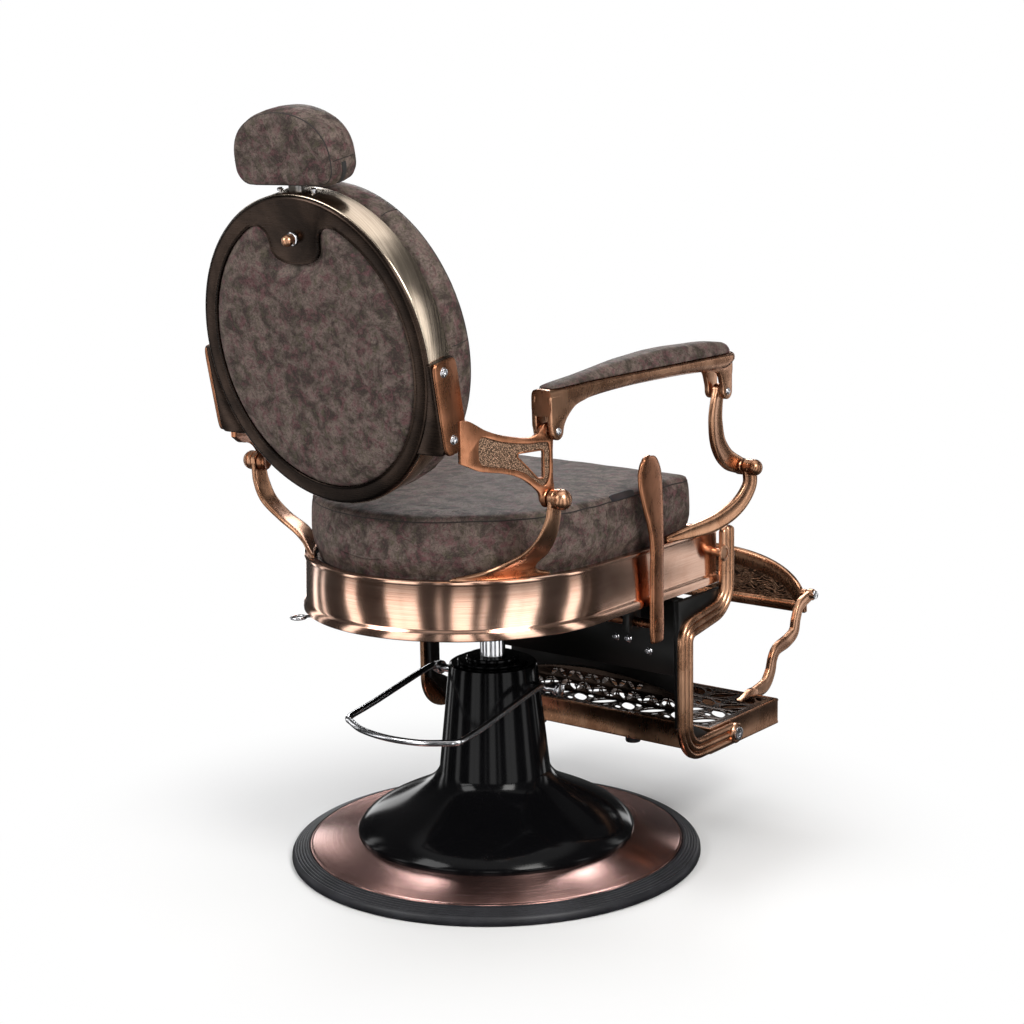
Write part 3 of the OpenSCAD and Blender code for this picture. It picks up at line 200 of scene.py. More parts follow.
def seat_outline(inset, corner, n):
    """The seat's plan: a half circle behind, straight sides and a front with round corners."""
    r = SEAT_R - inset
    y0 = SEAT_FRONT + inset
    a = np.linspace(0, math.pi, 61)
    k = corner * np.stack([np.cos(a / 2), np.sin(a / 2)], axis=1)[::5]
    left = np.array([-r + corner, y0 + corner]) - k
    right = np.array([r - corner, y0 + corner]) + k[::-1] * [1, -1]
    return ring([arc((0, SEAT_YC), r, a), left, right], n)


def ellipse(rx, ry, n):
    """A closed ellipse, anticlockwise."""
    return np.stack([rx * np.cos(around(n)), ry * np.sin(around(n))], axis=1)


def round_box(e, n):
    """A unit square with soft corners: a superellipse of exponent e."""
    a = around(n) + math.pi / n
    return np.stack([power(np.cos(a), 2 / e), power(np.sin(a), 2 / e)], axis=1)


def channelled(depth):
    """A soft square section whose broad faces carry a shallow channel: its first axis dips in the middle
    of each face by depth, as a smooth hump of the second axis."""
    q = round_box(4.5, 40)
    dip = depth * np.exp(-(q[:, 1] / 0.45) ** 4)
    q[:, 0] -= np.sign(q[:, 0]) * dip * (np.abs(q[:, 0]) > 0.5)
    return q


def arched(w, h, foot, n_arch, n_flat, n):
    """A board's outline: a flat foot from -w to w and an arch of height h over it, a superellipse."""
    a = np.linspace(0, math.pi, n_arch)
    arch = np.stack([w * power(np.cos(a), 0.8), foot + h * np.sin(a) ** 0.8], axis=1)
    flat = np.stack([np.linspace(-w, w, n_flat)[1:-1], np.full(n_flat - 2, foot)], axis=1)
    return ring([arch, flat], n)


def raised(outline, inset, z):
    """An outline drawn in by inset, as points at the height z."""
    return np.column_stack([outline - inset * normals2(outline), np.full(len(outline), z)])


def in_back(x, v, u):
    """Points of the back's own frame: x across, v out of the rear face, u up its lean."""
    x, v, u = np.broadcast_arrays(x, v, u)
    return BACK_MID + x[..., None] * np.array([1.0, 0, 0]) + v[..., None] * BACK_OUT + u[..., None] * BACK_UP


# ---------- meshes ----------

def linked(name, data):
    """A new object in the scene."""
    obj = bpy.data.objects.new(name, data)
    bpy.context.scene.collection.objects.link(obj)
    return obj


@contextmanager
def opened(me):
    """A mesh opened for changes, which are written back at the end."""
    bm = bmesh.new()
    bm.from_mesh(me)
    yield bm
    bm.to_mesh(me)
    bm.free()


def mesh_object(name, verts, faces):
    """A mesh object at the origin whose faces point outwards, smooth below 35 degrees."""
    me = bpy.data.meshes.new(name)
    me.from_pydata(np.asarray(verts, float).tolist(), [], faces)
    me.validate()
    with opened(me) as bm:
        bmesh.ops.recalc_face_normals(bm, faces=bm.faces)
    obj = linked(name, me)
    me.shade_smooth()
    sharpen(obj, 35)
    return obj


def sharpen(obj, degrees):
    """Edges that turn more than this many degrees are drawn sharp."""
    limit = math.radians(degrees)
    with opened(obj.data) as bm:
        for e in bm.edges:
            e.smooth = len(e.link_faces) == 2 and e.calc_face_angle(0) < limit


def cells_of(i):
    """The four corners of every cell of a grid of vertex numbers."""
    return np.stack([i[:-1, :-1], i[1:, :-1], i[1:, 1:], i[:-1, 1:]], axis=-1).reshape(-1, 4)


def grid(name, p, wrap_u=False, wrap_v=True, caps=True):
    """A surface from an array of points (u, v, 3). caps close the first and last row with a fan."""
    nu, nv = p.shape[:2]
    i = np.arange(nu * nv).reshape(nu, nv)
    iu = np.vstack([i, i[:1]]) if wrap_u else i
    iv = np.hstack([iu, iu[:, :1]]) if wrap_v else iu
    verts = p.reshape(-1, 3)
    faces = cells_of(iv).tolist()
    if caps and not wrap_u:
        verts = np.vstack([verts, p[0].mean(axis=0), p[-1].mean(axis=0)])
        for row, tip in ((iv[0], nu * nv), (iv[-1], nu * nv + 1)):
            faces += [[int(a), int(b), tip] for a, b in zip(row[:-1], row[1:])]
    return mesh_object(name, verts, faces)


def revolve(name, profile, n):
    """A closed profile of (radius, z) turned about the Z axis."""
    p = np.asarray(profile, float)
    a = around(n)[:, None]
    pts = np.stack([p[:, 0] * np.cos(a), p[:, 0] * np.sin(a), np.broadcast_to(p[:, 1], (n, len(p)))], axis=-1)
    return grid(name, pts, wrap_u=True)


def turned(name, profile, origin, axis, n=32):
    """A profile of (radius, height) turned about any axis and closed at both ends."""
    p = np.asarray(profile, float)
    axis = unit(np.asarray(axis, float))
    u = unit(np.cross(axis, [0.3, 0.9, 0.31]))
    v = np.cross(axis, u)
    circle = np.cos(around(n))[:, None] * u + np.sin(around(n))[:, None] * v
    return grid(name, np.asarray(origin, float) + p[:, 0, None, None] * circle + p[:, 1, None, None] * axis)


def hub(x, at, bore, r, edge, low, high, n):
    """A ring with broken edges about an axis along X, between two faces that are counted from x."""
    profile = [(bore, low), (r - edge, low), (r, low + edge),
               (r, high - edge), (r - edge, high), (bore, high)]
    return turned("hub", profile, (x, *at), X_AXIS, n)


def sweep(name, path, across, section, half_w, half_t, ends=0.6):
    """A section carried along a path. Its first axis lies along across, its second square to it.
    A few steps past each end shrink it, so that the ends are rounded."""
    path = np.asarray(path, float)
    tangent = unit(np.gradient(path, axis=0))
    across = np.broadcast_to(np.asarray(across, float), path.shape)
    side = unit(across - np.sum(across * tangent, axis=1, keepdims=True) * tangent)
    up = np.cross(tangent, side)
    half_w, half_t = spread(half_w, len(path)), spread(half_t, len(path))
    pts = (path[:, None] + half_w[:, None, None] * section[:, :1] * side[:, None]
           + half_t[:, None, None] * section[:, 1:] * up[:, None])

    def tip(i, way, shrink):
        r = ends * min(half_w[i], half_t[i])
        return np.array([path[i] + (pts[i] - path[i]) * k + way * tangent[i] * r * math.sqrt(1 - k * k)
                         for k in shrink])

    return grid(name, np.concatenate([tip(0, -1, (0.45, 0.75, 0.93)), pts, tip(-1, 1, (0.93, 0.75, 0.45))]))


def mirrored(name, obj):
    """A copy of a piece on the sitter's other side."""
    me = obj.data.copy()
    me.transform(Matrix.Diagonal((-1, 1, 1, 1)))
    me.flip_normals()
    return linked(name, me)


def joined(name, objs):
    """Several meshes as one piece."""
    bm = bmesh.new()
    for o in objs:
        bm.from_mesh(o.data)
    me = bpy.data.meshes.new(name)
    bm.to_mesh(me)
    bm.free()
    for o in objs:
        bpy.data.objects.remove(o)
    return linked(name, me)


def plate(name, loops, thick, bevel, place):
    """A flat curve of closed loops, filled, given a thickness and round edges, then put in place.
    The first loop is the outline and the others are holes; thick is along the plate's own z."""
    cu = bpy.data.curves.new(name, "CURVE")
    cu.dimensions = "2D"
    cu.fill_mode = "BOTH"
    cu.extrude = thick / 2 - bevel
    cu.bevel_depth = bevel
    cu.offset = -bevel
    cu.bevel_resolution = 2
    for loop in loops:
        sp = cu.splines.new("POLY")
        sp.points.add(len(loop) - 1)
        co = np.zeros((len(loop), 4))
        co[:, :2] = loop
        co[:, 3] = 1
        sp.points.foreach_set("co", co.ravel())
        sp.use_cyclic_u = True
    tmp = linked(name, cu)
    bpy.context.view_layer.update()
    me = bpy.data.meshes.new_from_object(tmp)
    bpy.data.objects.remove(tmp)
    me.transform(place)
    obj = linked(name, me)
    with opened(me) as bm:
        bmesh.ops.remove_doubles(bm, verts=bm.verts, dist=1e-5)
        bmesh.ops.recalc_face_normals(bm, faces=bm.faces)
    me.shade_smooth()
    sharpen(obj, 30)
    return obj


def place_plane(origin, x_axis, y_axis):
    """The matrix that puts a flat plate's x and y along two directions at an origin."""
    x = Vector(x_axis).normalized()
    y = Vector(y_axis).normalized()
    m = Matrix((x, y, x.cross(y))).transposed().to_4x4()
    m.translation = Vector(origin)
    return m


def side_place(x):
    """The matrix of an upright plate at x: its own x is Y, its y is Z and its thickness is along X."""
    return place_plane((x, 0, 0), Y_AXIS, Z_AXIS)


# ---------- shader expressions ----------

class Sock:
    """A shader socket that takes part in Python sums: each operator adds one Math node."""

    def __init__(self, mat, out):
        self.mat, self.out = mat, out

    def _do(self, op, other=None, swap=False):
        a, b = (other, self) if swap else (self, other)
        vals = [a] if b is None else [a, b]
        return self.mat.node("ShaderNodeMath", {"operation": op}, dict(enumerate(vals)))

    def __add__(self, o): return self._do("ADD", o)
    def __radd__(self, o): return self._do("ADD", o, True)
    def __sub__(self, o): return self._do("SUBTRACT", o)
    def __rsub__(self, o): return self._do("SUBTRACT", o, True)
    def __mul__(self, o): return self._do("MULTIPLY", o)
    def __rmul__(self, o): return self._do("MULTIPLY", o, True)
    def __pow__(self, o): return self._do("POWER", o)

    def sine(self): return self._do("SINE")
    def cosine(self): return self._do("COSINE")
    def clamp(self): return self._do("MAXIMUM", 0.0)._do("MINIMUM", 1.0)

    def step(self, low, high):
        """Smoothly from 0 at low to 1 at high."""
        return self.mat.node("ShaderNodeMapRange", {"interpolation_type": "SMOOTHSTEP"},
                             {0: self, 1: low, 2: high, 3: 0.0, 4: 1.0})


class Finish:
    """A material with a Principled shader, and short ways to add its nodes."""

    def __init__(self, name, **sockets):
        self.mat = bpy.data.materials.new(name)
        self.mat.use_nodes = True
        self.tree = self.mat.node_tree
        self.bsdf = self.tree.nodes["Principled BSDF"]
        self.set(**sockets)
        self.place = self.node("ShaderNodeTexCoord", {}, {}, "Object")

    def node(self, kind, settings, inputs, output=0):
        """One node: its settings first, then the values or links of its sockets."""
        n = self.tree.nodes.new(kind)
        for k, v in settings.items():
            setattr(n, k, v)
        for k, v in inputs.items():
            if isinstance(v, Sock):
                self.tree.links.new(v.out, n.inputs[k])
            elif v is not None:
                n.inputs[k].default_value = v
        return Sock(self, n.outputs[output])

    def set(self, **sockets):
        """Sets the shader's sockets; an underscore stands for a space."""
        for k, v in sockets.items():
            s = self.bsdf.inputs[k.replace("_", " ")]
            if isinstance(v, Sock):
                self.tree.links.new(v.out, s)
            else:
                s.default_value = (*v, 1) if isinstance(v, (tuple, list)) and len(v) == 3 else v

    def scaled(self, x, y, z, turn=(0, 0, 0)):
        """Object coordinates stretched by x, y and z."""
        return self.node("ShaderNodeMapping", {}, {0: self.place, 2: turn, 3: (x, y, z)})

    def noise(self, scale, detail=3.0, rough=0.5, warp=0.0, at=None):
        return self.node("ShaderNodeTexNoise", {}, {"Vector": at or self.place, "Scale": scale,
                         "Detail": detail, "Roughness": rough, "Distortion": warp})

    def cells(self, scale):
        return self.node("ShaderNodeTexVoronoi", {}, {"Vector": self.place, "Scale": scale})

    def mix(self, k, a, b):
        """From colour a to colour b as k goes from 0 to 1."""
        a = (*a, 1) if isinstance(a, tuple) else a
        b = (*b, 1) if isinstance(b, tuple) else b
        return self.node("ShaderNodeMix", {"data_type": "RGBA"}, {0: k, 6: a, 7: b}, 2)

    def bump(self, height, distance, strength, under=None):
        return self.node("ShaderNodeBump", {}, {"Height": height, "Distance": distance,
                         "Strength": strength, "Normal": under})

    def split(self, at=None):
        """The x, y and z of a place."""
        n = self.node("ShaderNodeSeparateXYZ", {}, {0: at or self.place}).out.node
        return [Sock(self, o) for o in n.outputs]

    def join(self, x, y, z):
        return self.node("ShaderNodeCombineXYZ", {}, {0: x, 1: y, 2: z})


def srgb(r, g, b):
    """A colour given as screen values from 0 to 255, as linear light."""
    c = np.array([r, g, b]) / 255
    return tuple(np.where(c <= 0.04045, c / 12.92, ((c + 0.055) / 1.055) ** 2.4).tolist())


def chosen(name):
    """A colour of the add-on's settings."""
    return tuple(getattr(bpy.context.scene.chair_look, name))


# ---------- finishes ----------

def leather():
    """Vintage leather: small clouds of brown with purple and green casts, pale and dark fibres."""
    f = Finish("vintage_leather", Specular_IOR_Level=0.16)
    cloud = f.noise(36, 5, 0.65, 0.6)
    cast = f.noise(52, 6, 0.72, 1.2, at=f.scaled(1, 1, 1, (0.4, 0.9, 0.2)))
    blotch = f.noise(125, 6, 0.72, 1.5, at=f.scaled(1.0, 1.0, 1.2))
    fibre = f.noise(240, 6, 0.75, 2.4)
    body = f.mix(cloud.step(0.38, 0.62), chosen("leather_dark"), chosen("leather_light"))
    for mask, strength, colour in ((cast.step(0.5, 0.62), 0.7, (98, 62, 66)),
                                   ((1 - cast).step(0.52, 0.64), 0.6, (72, 69, 52)),
                                   (blotch.step(0.45, 0.62), 0.62, (42, 35, 32)),
                                   (fibre.step(0.52, 0.72), 0.55, (126, 113, 104)),
                                   ((1 - fibre).step(0.54, 0.72), 0.5, (36, 30, 27))):
        body = f.mix(mask * strength, body, srgb(*colour))
    skin = f.bump(f.cells(620), 0.00022, 0.35)
    crease = f.bump(f.noise(85, 4, 0.6, 2.0), 0.0012, 0.22, skin)
    f.set(Base_Color=body, Roughness=0.56 + blotch * 0.2, Normal=crease)
    return f.mat


def thread():
    """Dark sewing thread, laid in a shallow groove."""
    f = Finish("seam_thread", Roughness=0.8)
    f.set(Base_Color=f.mix(f.noise(900), srgb(20, 16, 15), srgb(40, 33, 30)))
    return f.mat


def copper_plate(name, bright, dark, brush, cloud_scale, rough):
    """Antique copper plate: a warm metal darkened in faint clouds, with fine brush lines."""
    f = Finish(name, Metallic=1.0)
    lines = f.noise(1.0, 6, 0.75, at=brush(f))
    broad = f.noise(cloud_scale, 4, 0.6, 0.6)
    tone = (broad.step(0.3, 0.72) * 0.4 + lines.step(0.3, 0.7) * 0.5 + 0.1).clamp()
    f.set(Base_Color=f.mix(tone, dark, bright), Roughness=rough + lines * 0.08 + broad * 0.04,
          Normal=f.bump(lines, 0.00005, 0.25))
    return f


def band_copper():
    """Copper brushed round the seat, so that lights draw out into upright streaks."""
    f = copper_plate("brushed_band", chosen("copper"), srgb(196, 146, 120),
                     lambda f: f.scaled(7, 7, 900), 7, 0.12)
    f.set(Anisotropic=0.75, Anisotropic_Rotation=0.25)
    return f.mat


def disc_copper():
    """Copper turned on a lathe: fine rings, so that lights draw out into rays."""
    def rings(f):
        x, y, _ = f.split()
        r = (x * x + y * y) ** 0.5
        return f.join(r * 1400, (x + y) * 6, (x - y) * 6)

    f = copper_plate("turned_copper", chosen("disc"), srgb(160, 116, 106), rings, 5, 0.2)
    f.set(Anisotropic=0.9, Anisotropic_Rotation=0.25)
    return f.mat


def cast_copper(name="antique_casting", bright=None, dark=None):
    """Cast and polished copper: paler where it is rubbed, a little browner in its clouds."""
    f = Finish(name, Metallic=1.0)
    cloud = f.noise(16, 3, 0.5, 0.4)
    rub = f.noise(150, 4, 0.6, 0.4, at=f.scaled(1, 1, 0.3))
    tone = (cloud.step(0.3, 0.7) * 0.8 + rub.step(0.3, 0.7) * 0.2).clamp()
    f.set(Base_Color=f.mix(tone, dark or chosen("copper_dark"), bright or chosen("copper_cast")),
          Roughness=0.21 + cloud * 0.08 + rub * 0.05, Normal=f.bump(cloud, 0.0008, 0.05))
    return f.mat


def warm_copper():
    """The redder castings: the lever and the sides of the back."""
    return cast_copper("warm_casting", srgb(184, 126, 94), srgb(122, 80, 56))


def pebbled_copper():
    """The sunk panel of the side castings: dark fine pebbles with rubbed tops."""
    f = Finish("pebbled_recess", Metallic=0.9)
    pebble = f.cells(620)
    f.set(Base_Color=f.mix(pebble.step(0.15, 0.55), srgb(196, 158, 130), srgb(78, 62, 50)),
          Roughness=0.34 + pebble * 0.2, Normal=f.bump(pebble * -1.0, 0.0011, 0.8))
    return f.mat


def hammered_copper():
    """The foot board's rear face: dark, with rows of small hammered waves."""
    f = Finish("hammered_panel", Metallic=1.0)
    x, y, z = f.split()
    swirl = f.noise(40, 2, 0.5)
    wave = f.node("ShaderNodeTexWave", {"wave_type": "BANDS", "bands_direction": "Z"},
                  {"Vector": f.join(x * 0.5 + swirl * 0.02, y, z * 1.3 + swirl * 0.045), "Scale": 62,
                   "Distortion": 6.0, "Detail": 2.0, "Detail Scale": 3.0}, 1)
    f.set(Base_Color=f.mix(wave.step(0.3, 0.85), srgb(62, 50, 42), srgb(138, 106, 84)),
          Roughness=0.3 + swirl * 0.1, Normal=f.bump(wave, 0.0014, 0.7))
    return f.mat


def bronze():
    """Nearly black bronze with a faint brown bloom."""
    f = Finish("dark_bronze", Metallic=1.0)
    bloom = f.noise(11, 4, 0.6, 0.5)
    fine = f.noise(1.0, 5, 0.6, at=f.scaled(30, 30, 700))
    f.set(Base_Color=f.mix(bloom.step(0.35, 0.7), chosen("bronze"), srgb(62, 50, 43)),
          Roughness=0.2 + fine * 0.14, Normal=f.bump(fine, 0.00008, 0.3))
    return f.mat


def painted_lit_band_bronze():
    """The band round the back: brushed round its edge, and painted much lighter than the near-black rear rim
    of the same bronze, as painted reflected light.
    """
    f = Finish("brushed_bronze", Metallic=1.0)
    lines = f.noise(1.0, 6, 0.65, at=f.scaled(6, 700, 6, (math.radians(11), 0, 0)))
    bloom = f.noise(8, 3, 0.6, 0.5)
    tone = (bloom.step(0.3, 0.7) * 0.4 + lines.step(0.3, 0.7) * 0.6).clamp()
    # these light colours are painted reflected light: the band is the same bronze as the dark rear rim
    f.set(Base_Color=f.mix(tone, srgb(148, 132, 116), srgb(214, 198, 178)),
          Roughness=0.13 + lines * 0.16, Normal=f.bump(lines, 0.0001, 0.3))
    return f.mat


def enamel():
    """Gloss black enamel with the faintest ripple."""
    f = Finish("black_enamel", Specular_IOR_Level=0.12)
    ripple = f.noise(30, 2, 0.5)
    speck = f.noise(420, 3, 0.6)
    f.set(Base_Color=f.mix(speck.step(0.6, 0.8), (0.003, 0.003, 0.0035), (0.008, 0.008, 0.0085)),
          Roughness=0.1 + ripple * 0.06, Normal=f.bump(ripple, 0.0006, 0.05))
    return f.mat


def satin_black():
    """Satin black powder coat."""
    f = Finish("satin_black", Specular_IOR_Level=0.25)
    peel = f.noise(520, 3, 0.5)
    f.set(Base_Color=f.mix(f.noise(9, 3, 0.5), (0.003, 0.003, 0.003), (0.007, 0.0065, 0.006)),
          Roughness=0.26 + peel * 0.14, Normal=f.bump(peel, 0.0002, 0.2))
    return f.mat


def chrome():
    """Polished chrome with slight haze."""
    f = Finish("polished_chrome", Metallic=1.0)
    haze = f.noise(60, 3, 0.5)
    f.set(Base_Color=f.mix(haze, (0.56, 0.56, 0.58), (0.70, 0.70, 0.72)), Roughness=0.14 + haze * 0.08)
    return f.mat


def steel():
    """Ground steel."""
    f = Finish("ground_steel", Metallic=1.0)
    lines = f.noise(1.0, 5, 0.6, at=f.scaled(500, 500, 14))
    f.set(Base_Color=f.mix(lines, srgb(120, 118, 116), srgb(176, 174, 172)), Roughness=0.24 + lines * 0.14)
    return f.mat


def rubber():
    """Grey-black rubber with dust in its pores."""
    f = Finish("ring_rubber", Specular_IOR_Level=0.35)
    pore = f.noise(700, 4, 0.6)
    dust = f.noise(16, 4, 0.6)
    f.set(Base_Color=f.mix((dust * 0.6 + pore * 0.4).step(0.4, 0.7), srgb(24, 24, 28), srgb(44, 44, 49)),
          Roughness=0.36 + pore * 0.2, Normal=f.bump(pore, 0.0002, 0.3))
    return f.mat


def plywood():
    """Pale plywood, seen only from below and behind."""
    f = Finish("plywood", Specular_IOR_Level=0.3)
    grain = f.noise(1.0, 5, 0.6, 0.5, at=f.scaled(60, 6, 60))
    f.set(Base_Color=f.mix(grain, srgb(176, 138, 96), srgb(206, 172, 128)), Roughness=0.6 + grain * 0.2)
    return f.mat


def webbing():
    """Black elastic strap with a fine rib."""
    f = Finish("elastic_strap", Roughness=0.75)
    _, _, z = f.split()
    rib = (z * 4200).sine()
    f.set(Base_Color=f.mix(rib.step(-1, 1), (0.006, 0.006, 0.006), (0.022, 0.021, 0.02)),
          Normal=f.bump(rib, 0.0002, 0.5))
    return f.mat


FINISHES = {}   # the finishes made so far
MAKERS = {      # each finish's function, and the record's slot that it stands for
    "leather": (leather, "leather"), "thread": (thread, "leather"),
    "band": (band_copper, "brushed_copper"), "disc": (disc_copper, "brushed_copper"),
    "casting": (cast_copper, "antique_copper"), "warm": (warm_copper, "antique_copper"),
    "pebbles": (pebbled_copper, "antique_copper"), "hammered": (hammered_copper, "antique_copper"),
    "bronze": (bronze, "dark_bronze"), "bronze_band": (painted_lit_band_bronze, "dark_bronze"),
    "enamel": (enamel, "black_gloss"), "satin": (satin_black, "black_metal"),
    "chrome": (chrome, "chrome"), "steel": (steel, "plate_steel"), "plywood": (plywood, "plywood"),
    "rubber": (rubber, "rubber"), "strap": (webbing, "rubber"),
}


def finish(obj, name):
    """Gives a piece its material, and names the record's slot that it stands for."""
    maker, slot_name = MAKERS[name]
    if name not in FINISHES:
        FINISHES[name] = maker()
    obj.data.materials.clear()
    obj.data.materials.append(FINISHES[name])
    return slot_name


def add(obj, body, name, *nodes):
    """A finished piece: it rides on a body and stands for the nodes."""
    slot_name = finish(obj, name)
    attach(obj, body)
    if nodes:
        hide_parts(*nodes)
    return obj


def add_pad(obj, body, fill, *nodes):
    """A finished piece of leather that is stuffed: fill is not used."""
    add(obj, body, "leather", *nodes)


def both_sides(name, parts, body, look, node):
    """A casting on the sitter's right, and its mirror image on the left. A body that ends in _ takes the
    side's name, as the node does."""
    right = joined(name + "_right", parts)
    left = mirrored(name + "_left", right)
    for (side, _), obj in zip(SIDES, (right, left)):
        add(obj, body + side if body.endswith("_") else body, look, node + "_" + side)


def keep(node, name, bevel=0.0012):
    """A node whose shape is right: it keeps its mesh, and gets round edges and a finish."""
    obj = frame["nodes"][node]
    finish(obj, name)
    weld = obj.modifiers.new("weld", "WELD")
    weld.merge_threshold = 2e-5
    edge = obj.modifiers.new("edges", "BEVEL")
    edge.width = bevel
    edge.segments = 2
    edge.limit_method = "ANGLE"
    edge.angle_limit = math.radians(32)
    edge.harden_normals = True
    obj.data.shade_smooth()
    return obj


# ---------- cushions ----------

def pad(name, outline, rows, crown, place):
    """A closed cushion from its rings. place turns their points to the world."""
    return grid(name, place(pad_points(outline, rows, crown)))


def pad_points(outline, rows, crown):
    """The rings of a cushion, from the middle of its foot up its side to the middle of its top. rows are
    (inset, height) up the side; inside the last one the top rises by crown towards the middle, as 1 minus
    the square of the distance."""
    side = np.stack([raised(outline, inset, z) for inset, z in rows])
    k = np.linspace(1, 0.06, 14)[1:, None, None]
    top = side[-1] * [1, 1, 0] * k + (rows[-1][1] + crown * (1 - k ** 2)) * [0, 0, 1]
    low = side[0] * [1, 1, 0] * k[::-1] + [0, 0, rows[0][1]]
    return np.concatenate([low, side, top])


def seam(name, line, r=0.0012, closed=True):
    """A line of thread that lies along a row of points."""
    p = np.asarray(line, float)
    tangent = unit(np.roll(p, -1, axis=0) - np.roll(p, 1, axis=0) if closed else np.gradient(p, axis=0))
    u = unit(np.cross(tangent, [0.31, 0.22, 0.92]))
    v = np.cross(tangent, u)
    a = around(6)[None, :, None]
    pts = p[:, None] + r * (np.cos(a) * u[:, None] + np.sin(a) * v[:, None])
    return grid(name, pts, wrap_u=closed, caps=not closed)


def wrinkle(p, amount, seed):
    """Soft folds at points: seven long sine waves at different slants, worked out on whole arrays."""
    rng = np.random.default_rng(seed)
    waves = 7
    out = np.zeros(p.shape[:-1])
    for _ in range(waves):
        d = rng.normal(size=3)
        out += np.sin(p @ (d * rng.uniform(14, 60)) + rng.uniform(0, 6.3)) / waves
    return out * amount


def seat_cushion():
    """The seat's cushion: a soft drum with a sewn top edge, drawn in at its foot. Its rear top corner is a
    piece of its own, the part above a plane that falls to the rear; the cover itself is cut flat on that
    plane."""
    low, high = box("seat_cushion")
    h = high[2] - low[2] - 0.012
    mid = np.array([0.0, (low[1] + high[1]) / 2])
    outline = seat_outline(0.0135, 0.036, 220)
    front = 1 - 0.0315 / -(SEAT_FRONT + 0.0135)
    outline[:, 1] = np.where(outline[:, 1] < 0, outline[:, 1] * front, outline[:, 1])
    outline = outline - mid
    rows = [(0.012, 0), (0.010, 0.010), (0.004, 0.022), (0.0006, 0.036), (0, 0.05), (0.0004, 0.066),
            (0.0012, 0.08), (0.0022, h - 0.016), (0.0034, h - 0.011), (0.0045, h - 0.0092),
            (0.0042, h - 0.0075), (0.0065, h - 0.003), (0.011, h - 0.0005), (0.018, h + 0.0008),
            (0.03, h + 0.002)]
    slope = math.radians(50)
    y0, z0 = RECLINE[0] + 0.026, high[2] - 0.0135   # a line of the plane
    least = 0.0004                                  # a point this far above the plane is on the corner

    def whole(q):
        p = q.copy()
        p[..., :2] += mid
        p[..., 2] += low[2]
        fold = wrinkle(p, 0.0022, 3) * np.clip((p[..., 2] - low[2] - 0.012) / 0.03, 0, 1)
        p[..., 2] += fold * (q[..., 2] > h * 0.9)
        mask = (q[..., 2] > 0.02) & (q[..., 2] < h * 0.93)
        return p + unit(q * [1, 1, 0]) * (fold * 0.6 * mask)[..., None]

    def cut(p):
        c = p.copy()
        c[..., 2] = np.maximum(np.minimum(p[..., 2], z0 - (p[..., 1] - y0) * math.tan(slope)), low[2])
        return c

    full = whole(pad_points(outline, rows, 0.006))
    flat = cut(full)
    add_pad(grid("seat_cushion_cover", flat), "seat", 0.9, "seat_cushion")
    above = (full - flat)[..., 2] > least
    i = np.arange(above.size).reshape(above.shape)
    cells = cells_of(np.hstack([i, i[:, :1]]))
    used, index = np.unique(cells[above.ravel()[cells].any(axis=1)], return_inverse=True)
    index = index.reshape(-1, 4)
    m = len(used)
    skin = full.reshape(-1, 3)[used]
    skin = skin + unit(skin - [0, SEAT_YC, low[2] + 0.05]) * 0.00025
    edges = np.sort(np.concatenate([index[:, [k, (k + 1) % 4]] for k in range(4)]), axis=1)
    rim, count = np.unique(edges, axis=0, return_counts=True)
    faces = index.tolist() + (index[:, ::-1] + m).tolist()
    faces += [[int(a), int(b), int(b) + m, int(a) + m] for a, b in rim[count == 1]]
    corner = mesh_object("seat_cushion_corner", np.vstack([skin, flat.reshape(-1, 3)[used]]), faces)
    add_pad(corner, "seat", 0.9)
    line = whole(raised(outline, 0.0046, h - 0.0084))
    rear = np.where((line - cut(line))[:, 2] > least)[0]
    a, b = rear.min(), rear.max()
    add(seam("seat_cushion_seam", np.vstack([line[b:], line[:a + 1]]), closed=False), "seat", "thread")
    tail = add(seam("seat_corner_seam", line[a:b + 1], closed=False), "seat", "thread")
    for piece in (corner, tail):
        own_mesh(piece)


def back_cushion():
    """The back's cushion: a round box with a sewn edge in front and cross seams on its side."""
    outline = ellipse(0.2325, 0.2485, 220)
    rows = [(0.014, 0), (0.011, 0.003), (0.004, 0.0075), (0.001, 0.014), (0, 0.022), (0.0004, 0.032),
            (0.002, 0.041), (0.004, 0.0455), (0.0056, 0.0468), (0.006, 0.0482), (0.011, 0.0525),
            (0.02, 0.0562), (0.034, 0.0585), (0.05, 0.0592)]

    def place(q):
        p = in_back(q[..., 0], -0.0535 - np.minimum(q[..., 2], 0.0625), q[..., 1])
        return p - BACK_OUT * (wrinkle(p, 0.0025, 11) * (q[..., 2] > 0.05))[..., None]

    add_pad(pad("back_cushion_cover", outline, rows, 0.003, place), "back", 0.85, "back_cushion")
    nrm = normals2(outline)
    seams = [seam("edge", place(raised(outline, 0.0059, 0.0476)))]
    for degrees in (2, 55, 125, 178, 235, 305):
        k = int(round(degrees / 360 * len(outline)))
        side = np.array([[*(outline[k] - (i - 0.0002) * nrm[k]), h] for i, h in rows[2:9]])
        seams.append(seam("cross", place(side), 0.0007, False))
    add(joined("back_cushion_seams", seams), "back", "thread")


